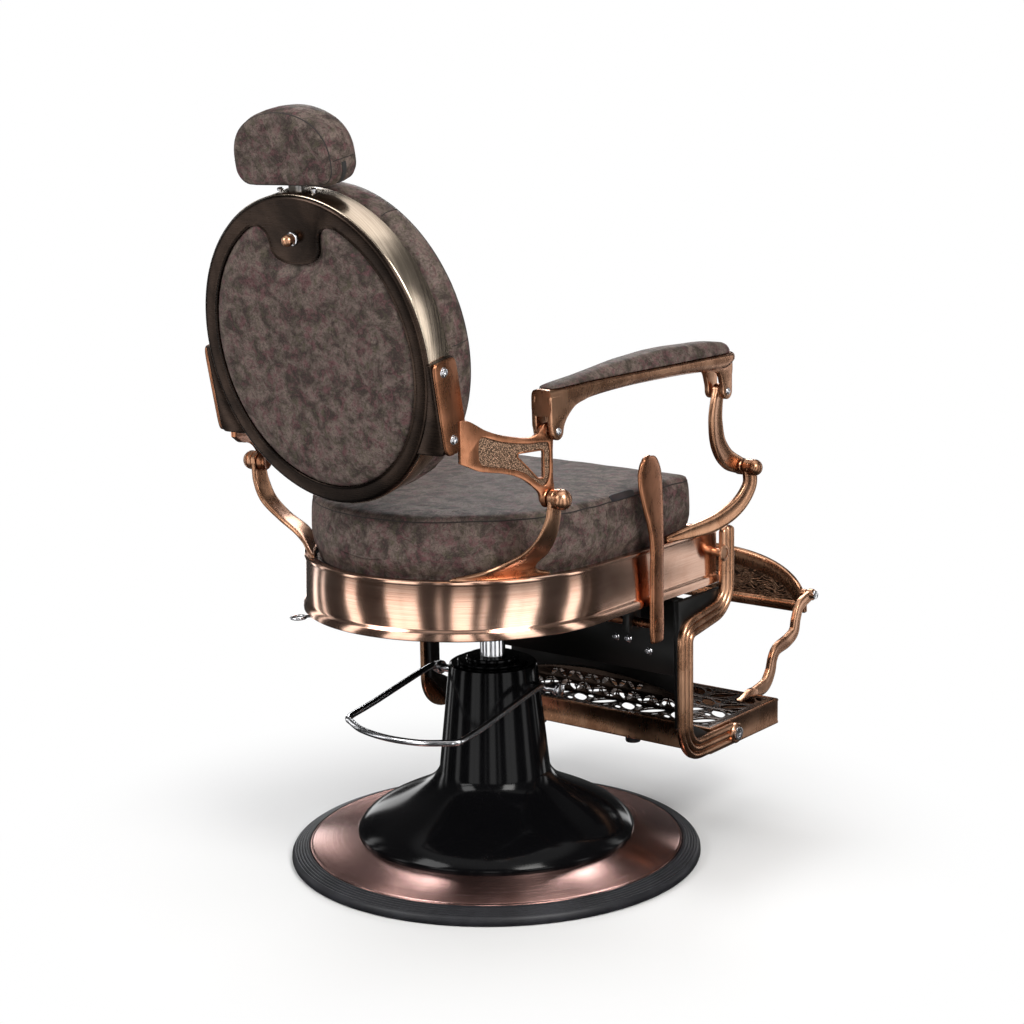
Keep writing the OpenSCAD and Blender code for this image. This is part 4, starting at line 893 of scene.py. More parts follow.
def rear_panel():
    """The oval leather panel behind the back: shallowly domed, and pressed down under the tongue."""
    rx, rz = 0.2005, 0.2185
    outline = ellipse(rx, rz, 200)
    k = np.linspace(1, 0.02, 70)[:, None]
    x, u = outline[None, :, 0] * k, outline[None, :, 1] * k
    edge = 1 - np.sqrt((x / rx) ** 2 + (u / rz) ** 2)
    v = -0.0055 + 0.0125 * (1 - np.exp(-edge / 0.055)) + 0.0018 * (1 - (1 - edge) ** 2)
    away = np.hypot(np.maximum(np.abs(x) - 0.021, 0), np.maximum(0.171 - u, 0)) - 0.0315
    press = np.clip(away / 0.024, 0, 1)
    v = v - (v + 0.0052) * (1 - press * press * (3 - 2 * press))
    v = v + wrinkle(in_back(x, v, u), 0.0007, 5) * press
    rings = np.concatenate([in_back(x, v, u)[::-1], in_back(x, -0.0095, u)])
    add_pad(grid("rear_panel_cover", rings), "back", 1.0, "rear_panel")


def head_pillow():
    """The head rest: a D-shaped pillow with a sewn rim behind, a seam round its side and a strap."""
    post = np.array(JOINTS["headrest_tilt"]["pos_m"])
    mid_u = float((post - BACK_MID) @ BACK_UP) - 0.014 + 0.057
    t = 0.071
    rx, h0, h1, k = 0.101, -0.0605, 0.0555, 0.030   # half width, foot, top, radius of the low corners
    a = np.linspace(0, math.pi, 40)
    arch = np.stack([rx * np.cos(a), (h1 + 0.022) * np.sin(a) ** 0.8 - 0.022], axis=1)
    left = arc((-rx + k, h0 + k), -k, np.linspace(0, math.pi / 2, 10))
    outline = ring([arch, left, left[::-1] * [-1, 1]], 150)
    rows = [(0.02, 0.0005), (0.012, 0.001), (0.006, 0.0035), (0.0042, 0.0058), (0.0046, 0.0068),
            (0.0036, 0.008), (0.001, 0.014), (0, 0.026), (0.0002, 0.045), (0.002, t - 0.013),
            (0.006, t - 0.0065), (0.013, t - 0.002), (0.024, t)]

    def place(q):
        p = in_back(q[..., 0], -q[..., 2], q[..., 1] + mid_u)
        return p - BACK_OUT * (wrinkle(p, 0.0016, 8) * np.sign(q[..., 2] - t / 2))[..., None]

    add_pad(pad("headrest_cover", outline, rows, 0.0045, place), "headrest", 0.9, "headrest_cushion")
    seams = [seam("rim", place(raised(outline, 0.0046, 0.0064)))]
    strap = []
    for s in (-1, 1):
        side = np.array([(s * (rx - 0.0003), -0.021, z) for z in np.linspace(0.009, 0.054, 12)])
        seams.append(seam("side", place(side), 0.0007, False))
        h = np.linspace(-0.057, -0.026, 10)
        x = rx - k + np.sqrt(np.maximum(k ** 2 - np.minimum(h - h0 - k, 0) ** 2, 0))
        path = place(np.column_stack([s * (x + 0.0004), h, np.full(10, 0.030)]))
        strap.append(sweep("strap", path, BACK_OUT, round_box(5, 12), 0.0045, 0.0007))
    add(joined("headrest_seams", seams), "headrest", "thread")
    add(joined("headrest_strap", strap), "headrest", "strap")


def arm_drop(y):
    """How far the arm's top has fallen at a distance to the rear: it bends down behind its middle."""
    low, high = box("armrest_right")
    t = (y - low[1]) / (high[1] - low[1])
    return 0.0045 * np.clip((t - 0.55) / 0.45, 0, 1) ** 1.5


def arm_pads():
    """The arm pads: long and round-edged, thick over the middle and thin towards the rear. The underside
    follows the drop of the arm's own top."""
    for side, s in SIDES:
        low, high = box("arm_pad_" + side)
        metal = box("armrest_" + side)[1][2]
        y0, y1 = low[1], high[1]
        mid = np.array([s * ARM_X, (y0 + y1) / 2])
        half = (y1 - y0) / 2
        w = through([(0.0115, 1.0), (0.0175, 0.93), (0.0195, 0.6), (0.0255, 0.12), (0.0262, -0.6),
                     (0.0235, -0.93), (0.012, -1.0)], 70) * [1, half]
        outline = ring([w * [-1, 1], w[::-1]], 180)
        if signed_area(outline) < 0:
            outline = outline[::-1]
        h = high[2] - metal - 0.001
        rows = [(0.001, 0), (0.0, 0.003), (0.0004, h * 0.28), (0.0022, h * 0.52), (0.0055, h * 0.76),
                (0.0095, h * 0.91), (0.014, h)]
        rise = [(0, 0.62), (0.10, 0.86), (0.25, 0.97), (0.42, 1.0), (0.62, 0.80), (0.82, 0.47), (1.0, 0.20)]

        def place(q):
            p = np.empty(q.shape)
            p[..., :2] = q[..., :2] + mid
            thick = q[..., 2] * smooth(rise, 200, (q[..., 1] + half) / (2 * half))
            p[..., 2] = metal + 0.0003 - arm_drop(p[..., 1]) + thick
            p[..., 2] += wrinkle(p, 0.0009, 21 + s) * (q[..., 2] > h * 0.8)
            return p

        add_pad(pad("arm_pad_cover_" + side, outline, rows, 0.0008, place), "arm_" + side, 0.9,
                "arm_pad_" + side)


def leg_pads():
    """The pad for the calves and the pad on the front of the foot board."""
    def upright(y, z, t, fold, seed):
        """Lays a pad against a plane at y, its middle at the height z, with folds on its face."""
        def place(q):
            p = np.stack([q[..., 0], y - q[..., 2], q[..., 1] + z], axis=-1)
            p[..., 1] -= wrinkle(p, fold, seed) * (q[..., 2] > t * 0.8)
            return p
        return place

    low, high = box("calf_pad")
    w, h, t = (high[0] - low[0]) / 2, (high[2] - low[2]) / 2, high[1] - low[1]
    rows = [(0.004, 0), (0.001, 0.003), (0, 0.008), (0.0005, 0.018), (0.003, t - 0.016),
            (0.0045, t - 0.0145), (0.0044, t - 0.0132), (0.009, t - 0.007), (0.017, t - 0.0035),
            (0.03, t - 0.002)]
    place = upright(high[1], (low[2] + high[2]) / 2, t, 0.0016, 31)
    outline = ring([round_box(9, 160) * [w, h]], 180)
    add_pad(pad("calf_pad_cover", outline, rows, 0.0015, place), "legrest", 0.85, "calf_pad")
    low, high = box("foot_board_pad")
    w, t = (high[0] - low[0]) / 2, high[1] - low[1]
    foot, h = low[2] - BOARD_PIVOT[1], high[2] - low[2]
    rows = [(0.003, 0), (0.0005, 0.003), (0, 0.007), (0.001, t - 0.013), (0.0024, t - 0.0115),
            (0.0022, t - 0.0105), (0.006, t - 0.005), (0.013, t - 0.0015)]
    place = upright(high[1], BOARD_PIVOT[1] + foot + h / 2, t, 0.0009, 41)
    outline = arched(w, h, foot, 80, 30, 170) - [0, foot + h / 2]
    add_pad(pad("foot_board_cover", outline, rows, 0.0008, place), "footboard", 0.9, "foot_board_pad")


# ---------- base and pump ----------

def base_pieces():
    """The rubber ring with its fine steps, the turned copper cover and the enamelled column."""
    ring_r, _, ring_top = box("base_ring")[1]
    cover_r = box("base_cover")[1][0]
    edge = [(cover_r - 0.012, 0), (ring_r - 0.003, 0), (ring_r - 0.0008, 0.001), (ring_r, 0.0035),
            (ring_r - 0.0003, 0.0085), (ring_r - 0.0022, 0.0125)]
    steps = []
    for i in range(5):
        r = ring_r - 0.004 - i * 0.0048
        z = 0.0145 + i * (ring_top - 0.0162) / 4.6
        steps += [(r, z), (r - 0.0018, z + 0.0012), (r - 0.0034, z + 0.0010), (r - 0.0042, z + 0.0001)]
    inner = [(cover_r + 0.004, ring_top - 0.0005), (cover_r + 0.0022, ring_top),
             (cover_r + 0.0006, ring_top - 0.002), (cover_r + 0.0006, 0.017), (cover_r - 0.012, 0.017)]
    add(revolve("rubber_ring", edge + steps + inner, 256), "base", "rubber", "base_ring")
    z = box("base_cover")[1][2]
    skirt = box("column_cover")[1][0]
    lip = z - 0.016
    cover = [(cover_r - 0.0003, 0.0172), (cover_r - 0.0003, lip - 0.0034), (cover_r - 0.0012, lip - 0.0012),
             (cover_r - 0.0042, lip - 0.0002), (cover_r - 0.0052, lip - 0.0004),
             (cover_r - 0.0066, lip + 0.0006), (skirt + 0.002, z - 0.0003),
             (skirt - 0.026, z - 0.0003), (skirt - 0.026, z - 0.003),
             (skirt, z - 0.003), (cover_r - 0.008, lip - 0.003), (cover_r - 0.004, 0.0172)]
    add(revolve("copper_cover", cover, 256), "base", "disc", "base_cover")
    top = box("column_cover")[1][2]
    r_top, r_foot = 0.077, 0.097
    a, b, c, d = np.array([(skirt - 0.0035, z + 0.0115), (skirt - 0.034, z + 0.0545),
                           (r_foot + 0.018, z + 0.0645), (r_foot, 0.154)])
    s = np.linspace(0, 1, 40)[:, None]
    flare = (1 - s) ** 3 * a + 3 * (1 - s) ** 2 * s * b + 3 * (1 - s) * s * s * c + s ** 3 * d
    shell = np.vstack([[(skirt - 0.0006, z), (skirt - 0.0003, z + 0.006), (skirt - 0.0012, z + 0.0086)],
                       flare,
                       [(r_top + 0.0003, top - 0.007), (r_top - 0.001, top - 0.0028),
                        (r_top - 0.0045, top - 0.0003), (0.049, top - 0.0003), (0.049, top - 0.004)]])
    inside = (shell - [0.004, 0.003])[::-1]
    inside[:, 0] = np.maximum(inside[:, 0], 0.0475)
    inside[-1] = (skirt - 0.0046, z)
    column = np.vstack([shell, inside[4:]])
    add(revolve("column_shell", column, 192), "base", "enamel", "column_cover")
    z0, z1 = box("column_collar")[0][2], box("column_collar")[1][2]
    collar = [(0.0225, z0 + 0.0002), (0.0605, z0 + 0.0002), (0.0618, z0 + 0.0012), (0.0618, z0 + 0.0038),
              (0.0606, z0 + 0.005), (0.047, z0 + 0.0052), (0.0458, z0 + 0.0062), (0.0456, z1 - 0.002),
              (0.044, z1 - 0.0003), (0.0225, z1 - 0.0003)]
    add(revolve("pump_collar", collar, 96), "base", "enamel", "column_collar")
    keep("floor_plate", "steel")
    keep("pump_cylinder", "steel")
    keep("lifting_rod", "chrome", 0.001)


def pedal():
    """The pump pedal: one chromed rod bent into a loop, with an eye at each end, and its pivots."""
    y, z = pivot("pedal_press")
    high = box("pump_pedal")[1]
    w = high[0] - 0.0117
    y1 = high[1] - 0.0355
    z1 = z - 0.030
    half = [(-w - 0.006, y + 0.009, z + 0.002), (-w, y + 0.024, z + 0.007),
            (-w + 0.002, y + 0.046, z + 0.010), (-w, y1 - 0.08, z1 + 0.012),
            (-w, y1 - 0.02, z1 + 0.002), (-w + 0.005, y1 - 0.005, z1),
            (-w + 0.020, y1 + 0.004, z1 - 0.001), (-w / 2, y1 + 0.0225, z1 - 0.003)]
    points = half + [(0, y1 + 0.030, z1 - 0.004)] + [(-p[0], p[1], p[2]) for p in half[::-1]]
    path = even(through(points, 600), 280)
    rod = sweep("rod", path, (0.03, 0.05, 1), round_box(2, 32), 0.0055, 0.0055)
    eye = [(0.0072, 0), (0.0112, 0), (0.012, 0.0012), (0.012, 0.0088), (0.0112, 0.01), (0.0072, 0.01)]
    eyes = [turned("eye", eye, (s * (w + 0.001), y, z), (s, 0, 0)) for s in (-1, 1)]
    add(joined("pedal_loop", [rod] + eyes), "pedal", "chrome", "pump_pedal")
    keep("pedal_pivots", "chrome", 0.0015)


# ---------- seat ----------

def seat_pieces():
    """The brushed band round the seat, with a bead at its foot and a fine roll at its top."""
    z0, z1 = BAND_FOOT, BAND_TOP
    profile = [(0.0, z0 + 0.002), (-0.0022, z0 + 0.0005), (-0.0046, z0 + 0.0022), (-0.005, z0 + 0.006),
               (-0.0043, z0 + 0.0125), (-0.0032, z0 + 0.0158), (-0.0012, z0 + 0.0178), (0.0002, z0 + 0.021),
               (0.0003, z1 - 0.0085), (-0.0006, z1 - 0.0068), (-0.0015, z1 - 0.0042), (-0.0012, z1 - 0.0018),
               (0.0002, z1 - 0.0003), (0.0125, z1 - 0.0003), (0.0138, z1 - 0.0012), (0.0138, z1 - 0.003),
               (0.004, z1 - 0.003), (0.004, z0 + 0.002)]
    rows = np.array([np.column_stack([seat_outline(i, max(0.006 - i, 0.0015), 300), np.full(300, z)])
                     for i, z in profile])
    add(grid("seat_band_shell", rows, wrap_u=True), "seat", "band", "seat_band")
    for node in ("swivel_head", "seat_plate", "recline_lock"):
        keep(node, "satin", 0.002)
    keep("seat_board", "satin")
    keep("leg_pins", "casting")
    rim = box("seat_cushion")[1][2]
    tab = plate("tab", [round_box(5, 24) * [0.0065, 0.034]], 0.0044, 0.0016,
                place_plane((-0.2542, -0.030, rim - 0.0155), (0.45, 0, 0.9), Y_AXIS))
    add(tab, "seat", "rubber")


def lever():
    """The recline lever: a blade with soft faces, widest below its round top, that leans to the rear."""
    y, z = pivot("recline_lever_pull")
    low, high = box("recline_lever")
    h = high[2] - z
    x = low[0] + 0.0045
    rows = [  # distance up, share of the height, distance to the rear, half the width
        (-0.027, 0, 0, 0.0175), (0, 0, 0, 0.0195), (0, 0.3, 0, 0.0185), (0, 0.46, -0.001, 0.0185),
        (0, 0.6, 0.003, 0.0225), (0, 0.74, 0.011, 0.0295), (0, 0.86, 0.0185, 0.0335),
        (0, 0.935, 0.0245, 0.0300), (0, 0.975, 0.0285, 0.0215), (0, 0.992, 0.030, 0.0115)]
    line = through([(x, y + rear, z + up + h * share, wide) for up, share, rear, wide in rows], 110)
    blade = sweep("blade", line[:, :3], Y_AXIS, round_box(2.6, 32), line[:, 3], 0.0045, 0.9)
    boss = turned("boss", [(0.011, 0.004), (0.0125, 0.0036), (0.0125, 0.0), (0.0118, -0.0008)],
                  (x - 0.0012, y, z), (-1, 0, 0))
    shaft = turned("shaft", [(0.0079, 0), (0.0079, high[0] - x - 0.001)], (x, y, z), X_AXIS, 24)
    add(joined("recline_lever_casting", [blade, boss, shaft]), "lever", "warm", "recline_lever")


def brake():
    """The swivel brake keeps its own shape."""
    keep("swivel_brake_lever", "chrome", 0.0008)


def rear_brackets():
    """The curled flat bars behind the sitter. Each leaves the rim as a foot with two long tips that follow
    the rim, narrows in two hollow curves as it rises, and ends in the back's pivot. Rows go up the bar
    and columns across it; a row's ends bend along the rim by the square of their distance over twice
    its radius, less and less with height."""
    x0 = box("rear_bracket_right")[0][0] + 0.005
    y, z = RECLINE
    rim_r = 0.262
    rows = [  # middle of the bar, direction of its width, half width, bend
        (-0.2055, y - 0.006, BAND_TOP + 0.0008, 0.60, 0.80, 0.0, 0.083, 1.0),
        (-0.2068, y - 0.0065, BAND_TOP + 0.0042, 0.60, 0.80, 0.0, 0.077, 1.0),
        (-0.2120, y - 0.0095, BAND_TOP + 0.0095, 0.57, 0.82, 0.0, 0.054, 0.8),
        (-0.2215, y - 0.0135, BAND_TOP + 0.0170, 0.52, 0.85, 0.0, 0.039, 0.5),
        (-0.2385, y - 0.0150, BAND_TOP + 0.0290, 0.42, 0.90, 0.0, 0.0300, 0.2),
        (x0 + 0.046, y - 0.010, z - 0.092, 0.28, 0.95, 0.05, 0.0240, 0),
        (x0 + 0.0185, y - 0.002, z - 0.064, 0.12, 0.99, 0.03, 0.0205, 0),
        (x0 + 0.0035, y, z - 0.030, 0, 1, 0, 0.0170, 0),
        (x0, y, z, 0, 1, 0, 0.0145, 0)]
    line = through(rows, 90)
    mid, side, bend = line[:, :3], unit(line[:, 3:6]), np.clip(line[:, 7:], 0, 1)
    thick = unit(np.cross(unit(np.gradient(mid, axis=0)), side))
    section = round_box(3.6, 40)
    across = line[:, 6:7] * section[:, 0]
    pts = mid[:, None] + across[..., None] * side[:, None] + 0.0048 * section[:, 1, None] * thick[:, None]
    inward = unit(np.array([0.0, SEAT_YC, 0]) - mid * [1, 1, 0])
    pts = pts + (bend * across ** 2 / (2 * rim_r))[..., None] * inward[:, None]
    pts[..., 2] = np.maximum(pts[..., 2], BAND_TOP + 0.0002)
    parts = [grid("bar", pts), hub(x0 - 0.005, RECLINE, 0.006, 0.015, 0.0012, 0, 0.01, 40)]
    both_sides("rear_bracket_casting", parts, "seat", "casting", "rear_bracket")


def front_brackets():
    """The front scrolls: a bar that lies on the rim, lifts and curls up to the front link's pivot."""
    d = LINK_FOOT
    x1 = box("front_bracket_right")[0][0] + 0.005
    x0, y0 = -SEAT_R + 0.007, -0.142    # where the bar starts on the rim
    lean = (x1 - x0) / (d[0] - y0)

    def at(y, z):
        return x0 + (y - y0) * lean, y, z

    path = through([at(y0, BAND_TOP + 0.0046), at(-0.190, BAND_TOP + 0.0095),
                    at(d[0] + 0.075, BAND_TOP + 0.0185), at(d[0] + 0.026, BAND_TOP + 0.041),
                    at(d[0] - 0.001, BAND_TOP + 0.074), at(*d)], 80)
    width = [0.0054, 0.0112, 0.0146, 0.0158, 0.0152, 0.0138]
    bar = sweep("bar", path, (1.0, -lean, 0.0), channelled(0.3), 0.0052, width)
    foot = plate("foot", [round_box(2.6, 36) * [0.0055, 0.048]], 0.006, 0.0015,
                 place_plane((-SEAT_R + 0.0062, -0.187, BAND_TOP + 0.0031), X_AXIS, Y_AXIS))
    parts = [bar, foot, hub(x1 - 0.005, d, 0.006, 0.0144, 0.001, 0, 0.01, 40)]
    both_sides("front_bracket_casting", parts, "seat", "casting", "front_bracket")


def pivot_caps():
    """The domed caps over the pivots, with the barrel and a fine groove under each dome."""
    caps = []
    for pin, r in ((RECLINE, 0.0172), (LINK_FOOT, 0.0152)):
        profile = [(0.006, 0.2975), (0.006, 0.3215), (r - 0.002, 0.3215), (r - 0.001, 0.3225),
                   (r - 0.001, 0.3275), (r - 0.0024, 0.3282), (r - 0.0024, 0.3292), (r - 0.0008, 0.33)]
        profile += [(max((r - 0.0008) * math.cos(t), 0.0004), 0.33 + (r - 0.002) * math.sin(t))
                    for t in np.linspace(0, math.pi / 2, 12)[1:]]
        caps.append(turned("cap", profile, (0, *pin), (-1, 0, 0), 40))
    right = joined("caps_right", caps)
    left = mirrored("caps_left", right)
    add(joined("pivot_cap_domes", [right, left]), "seat", "casting", "pivot_caps")


# ---------- back ----------

def back_frame():
    """The round back's frame: a brushed band with ears, and a dark rear rim in one piece with the tongue
    that hangs over the leather. The rim's outer edge is an ellipse and its inner edge is a smaller
    ellipse that turns aside round the tongue; rows between them are flat, with a bead at the edge."""
    rx, rz, depth, rim = 0.229, 0.247, 0.054, 0.030
    outline = ellipse(rx, rz, 240)
    q = np.stack([raised(outline, i, v) for i, v in (
        (0.004, -depth), (0.001, -depth + 0.0003), (0, -depth + 0.0014), (0, -0.0075), (0.0006, -0.0062),
        (0.0022, -0.0052), (0.004, -0.0052))])
    # the band's bronze is painted lighter than the rim's, as painted reflected light
    add(grid("back_band", in_back(q[..., 0], q[..., 2], q[..., 1]), wrap_u=True), "back", "bronze_band")
    a0 = math.radians(64.4)     # where the inner ellipse leaves for the tongue
    a = np.linspace(math.pi - a0, 2 * math.pi + a0, 200)
    b = np.linspace(a0, math.pi - a0, 82)[1:-1]
    half = through([((rx - rim) * math.cos(a0), (rz - rim) * math.sin(a0)), (0.0705, 0.1965), (0.0575, 0.189),
                    (0.0520, 0.1765), (0.0500, 0.161), (0.040, 0.1475), (0.020, 0.1405), (0, 0.1393)], 41)
    tongue = even(np.vstack([half, (half * [-1, 1])[::-1][1:]]), 82)[1:-1]
    inner = np.vstack([np.stack([(rx - rim) * np.cos(a), (rz - rim) * np.sin(a)], axis=1), tongue])
    t = np.concatenate([a, b])
    outer = np.stack([rx * np.cos(t), rz * np.sin(t)], axis=1)
    rows = [raised(outer, *row) for row in (
        (0.002, -0.0062), (0.0014, -0.005), (0.0018, -0.0034), (0.0042, -0.0008), (0.0062, 0),
        (0.009, 0.0002))]
    rows += [raised(inner, *row) for row in (
        (-0.0085, -0.0003), (-0.0052, -0.0006), (-0.0034, -0.0006), (-0.0021, 0.0001), (-0.0009, 0.0002),
        (-0.0001, -0.0007), (0, -0.0042), (-0.006, -0.0048))]
    rows += [raised(outer, 0.012, -0.0058), raised(outer, 0.004, -0.0066)]
    q = np.array(rows)
    rim_face = grid("back_rim", in_back(q[..., 0], q[..., 2], q[..., 1]), wrap_u=True)
    add(rim_face, "back", "bronze", "back_frame")
    ear_x, u0, u1, k = 0.234, -0.147, -0.004, 0.010     # outer face, foot, top, radius of the low corner
    line = [(ear_x, u1), (ear_x, u0 + k), *arc((ear_x - k, u0 + k), k, -np.linspace(0, math.pi / 2, 8)),
            ((rx - 0.003) * math.sqrt(1 - (u0 / (rz - 0.003)) ** 2) - 0.002, u0)]
    line += [((rx - 0.004) * math.sqrt(1 - (u / (rz - 0.004)) ** 2) - 0.001, u)
             for u in np.linspace(u0, u1, 16)]
    place = place_plane(in_back(0.0, -depth / 2 - 0.0002, 0.0), X_AXIS, tuple(BACK_UP))
    ears = [plate("ear", [np.array(line) * [s, 1]], depth - 0.001, 0.0022, place) for s in (-1, 1)]
    add(joined("back_ears", ears), "back", "bronze")
    keep("back_board", "plywood")


def knob():
    """The ball-headed screw that clamps the head rest, in its chromed ring."""
    at = np.array(JOINTS["headrest_knob_turn"]["pos_m"])
    ball_r, ball_h = 0.0092, 0.0112
    ball = [(0.0048, -0.021), (0.0048, 0.0005), (0.0042, 0.0035)]
    ball += [(max(ball_r * math.cos(t), 0.0003), ball_h + ball_r * math.sin(t))
             for t in np.linspace(-0.9, math.pi / 2, 16)]
    add(turned("clamp_ball", ball, at, BACK_OUT), "knob", "casting", "headrest_knob")
    rows = np.array([(0.0055, 0.0004), (0.0102, 0.0004), (0.0108, 0.0012), (0.0104, 0.0026),
                     (0.0092, 0.0031), (0.0074, 0.0026), (0.0055, 0.0022)])[:, None]
    a = around(40)[None, :, None]
    pts = at + rows[..., :1] * (np.cos(a) * X_AXIS + np.sin(a) * BACK_UP) + rows[..., 1:] * BACK_OUT
    add(grid("clamp_ring", pts, wrap_u=True), "back", "chrome")


def head_metal():
    """The head rest's flat post and its bracket keep their shapes; two small screws stand beside the post."""
    keep("headrest_post", "steel", 0.0012)
    keep("headrest_bracket", "steel", 0.001)
    profile = [(0.0028, -0.004), (0.0028, 0.003), (0.005, 0.0032), (0.0052, 0.006), (0.0038, 0.0075),
               (0.0003, 0.0078)]
    screws = [turned("screw", profile, in_back(x, -0.027, 0.2438), BACK_UP, 20) for x in (-0.034, 0.034)]
    add(joined("post_clamp_screws", screws), "back", "chrome")


def side_brackets():
    """The copper castings at the sides of the back: an ear plate with two screws, and a slanted arm with
    a pebbled recess and a framed window, whose front edge carries both arm pivots."""
    ear_x, ear_t = 0.234, 0.007
    root = np.array([-ear_x - ear_t + 0.0015, BACK_MID[1] - 0.062])
    reach = np.array([-ARM_X, RECLINE[0]]) - root
    s1 = np.linalg.norm(reach)      # length of the arm, along its slant
    out = unit(reach)
    za, zb = RECLINE[1], ARM_REAR[1]
    half_turn = np.linspace(0, math.pi, 14)
    top = through([(-0.004, zb + 0.028), (0.010, zb + 0.0265), (0.024, zb + 0.019), (0.040, zb + 0.0095),
                   (0.068, zb - 0.0005), (s1 - 0.036, zb - 0.0075), (s1 - 0.018, zb - 0.003),
                   (s1 - 0.011, zb + 0.007)], 44)
    front = [(s1 + 0.0095, zb - 0.012), (s1 + 0.0085, zb - 0.03), (s1 + 0.0085, za + 0.03),
             (s1 + 0.0105, za + 0.014)]
    low = through([(s1 - 0.0135, za + 0.002), (s1 - 0.019, za + 0.0135), (s1 - 0.045, za + 0.034),
                   (0.07, za + 0.0445), (0.030, za + 0.0515), (0.008, za + 0.0605), (-0.004, za + 0.066)], 44)
    outline = np.vstack([top, arc((s1, zb), 0.0125, half_turn[::-1] * 0.86), front,
                         arc((s1, za), 0.0135, -half_turn), low])
    key = [(s1 - 0.054, zb - 0.0315), (s1 - 0.008, zb - 0.0290), (s1 - 0.008, za + 0.033),
           (s1 - 0.0165, za + 0.0335), (s1 - 0.035, za + 0.0535)]
    start = np.mean(key[:2], axis=0)
    window = rounded([start, *key[1:], key[0], start], [0.0035, 0.003, 0.004, 0.02, 0.003], 5)[:-1]
    outside = -1 if signed_area(window) > 0 else 1
    border = window - 0.0026 * outside * normals2(window)
    panel = through([(0.034, zb - 0.0005), (0.066, zb - 0.0105), (s1 - 0.036, zb - 0.0165),
                     (s1 - 0.008, zb - 0.0165), (s1 + 0.0015, zb - 0.022), (s1 + 0.0022, za + 0.040),
                     (s1 - 0.004, za + 0.0225), (s1 - 0.013, za + 0.0225), (s1 - 0.041, za + 0.0430),
                     (0.068, za + 0.0535), (0.040, za + 0.0585), (0.0285, za + 0.066), (0.0270, zb - 0.012)],
                    90, closed=True)
    square = np.array([-out[1], out[0]])
    outward = square if square[0] < 0 else -square

    def at(depth):
        return place_plane((*(root + outward * depth), 0), (*out, 0), Z_AXIS)

    parts = [plate("skin", [outline, panel], 0.0036, 0.0012, at(0.0028)),
             plate("frame", [border, window], 0.0030, 0.0008, at(0.0024)),
             plate("core", [outline, window], 0.0060, 0.0012, at(-0.0014))]
    bed = plate("bed", [panel, window], 0.0012, 0.0003, at(0.0016))
    parts.append(plate("ear", [round_box(9, 60) * [0.0255, 0.0715]], ear_t - 0.0003, 0.0016,
                       place_plane(in_back(-ear_x - ear_t / 2 - 0.00005, -0.027, -0.0755),
                                   tuple(BACK_OUT), tuple(BACK_UP))))
    parts += [hub(-ARM_X - 0.005, pin, 0.0052, r, 0.0012, 0, 0.01, 36)
              for pin, r in ((RECLINE, 0.0148), (ARM_REAR, 0.0128))]
    both_sides("side_bracket_casting", parts, "back", "warm", "side_bracket")
    add(joined("side_bracket_panels", [bed, mirrored("bed_left", bed)]), "back", "pebbles")
    screws = [socket_screw(in_back(s * (ear_x + ear_t - 0.0002), -0.020, u), (s, 0, 0), 0.0068, 0.0042)
              for s in (-1, 1) for u in (-0.020, -0.125)]
    add(joined("bracket_screw_heads", screws), "back", "chrome", "bracket_screws")


def socket_screw(at, axis, r, h):
    """A button-headed screw with a six-sided socket in a washer."""
    washer = [(0.001, 0), (r * 1.12, 0), (r * 1.16, h * 0.12), (r * 1.1, h * 0.24), (0.001, h * 0.24)]
    head = [(r * 0.96, h * 0.2), (r * 0.97, h * 0.5), (r * 0.84, h * 0.86), (r * 0.62, h),
            (r * 0.44, h * 0.98), (r * 0.4, h * 0.86), (r * 0.39, h * 0.4), (0.0002, h * 0.36)]
    return joined("screw", [turned("washer", washer, at, axis, 28), turned("head", head, at, axis, 24)])


# ---------- arms ----------

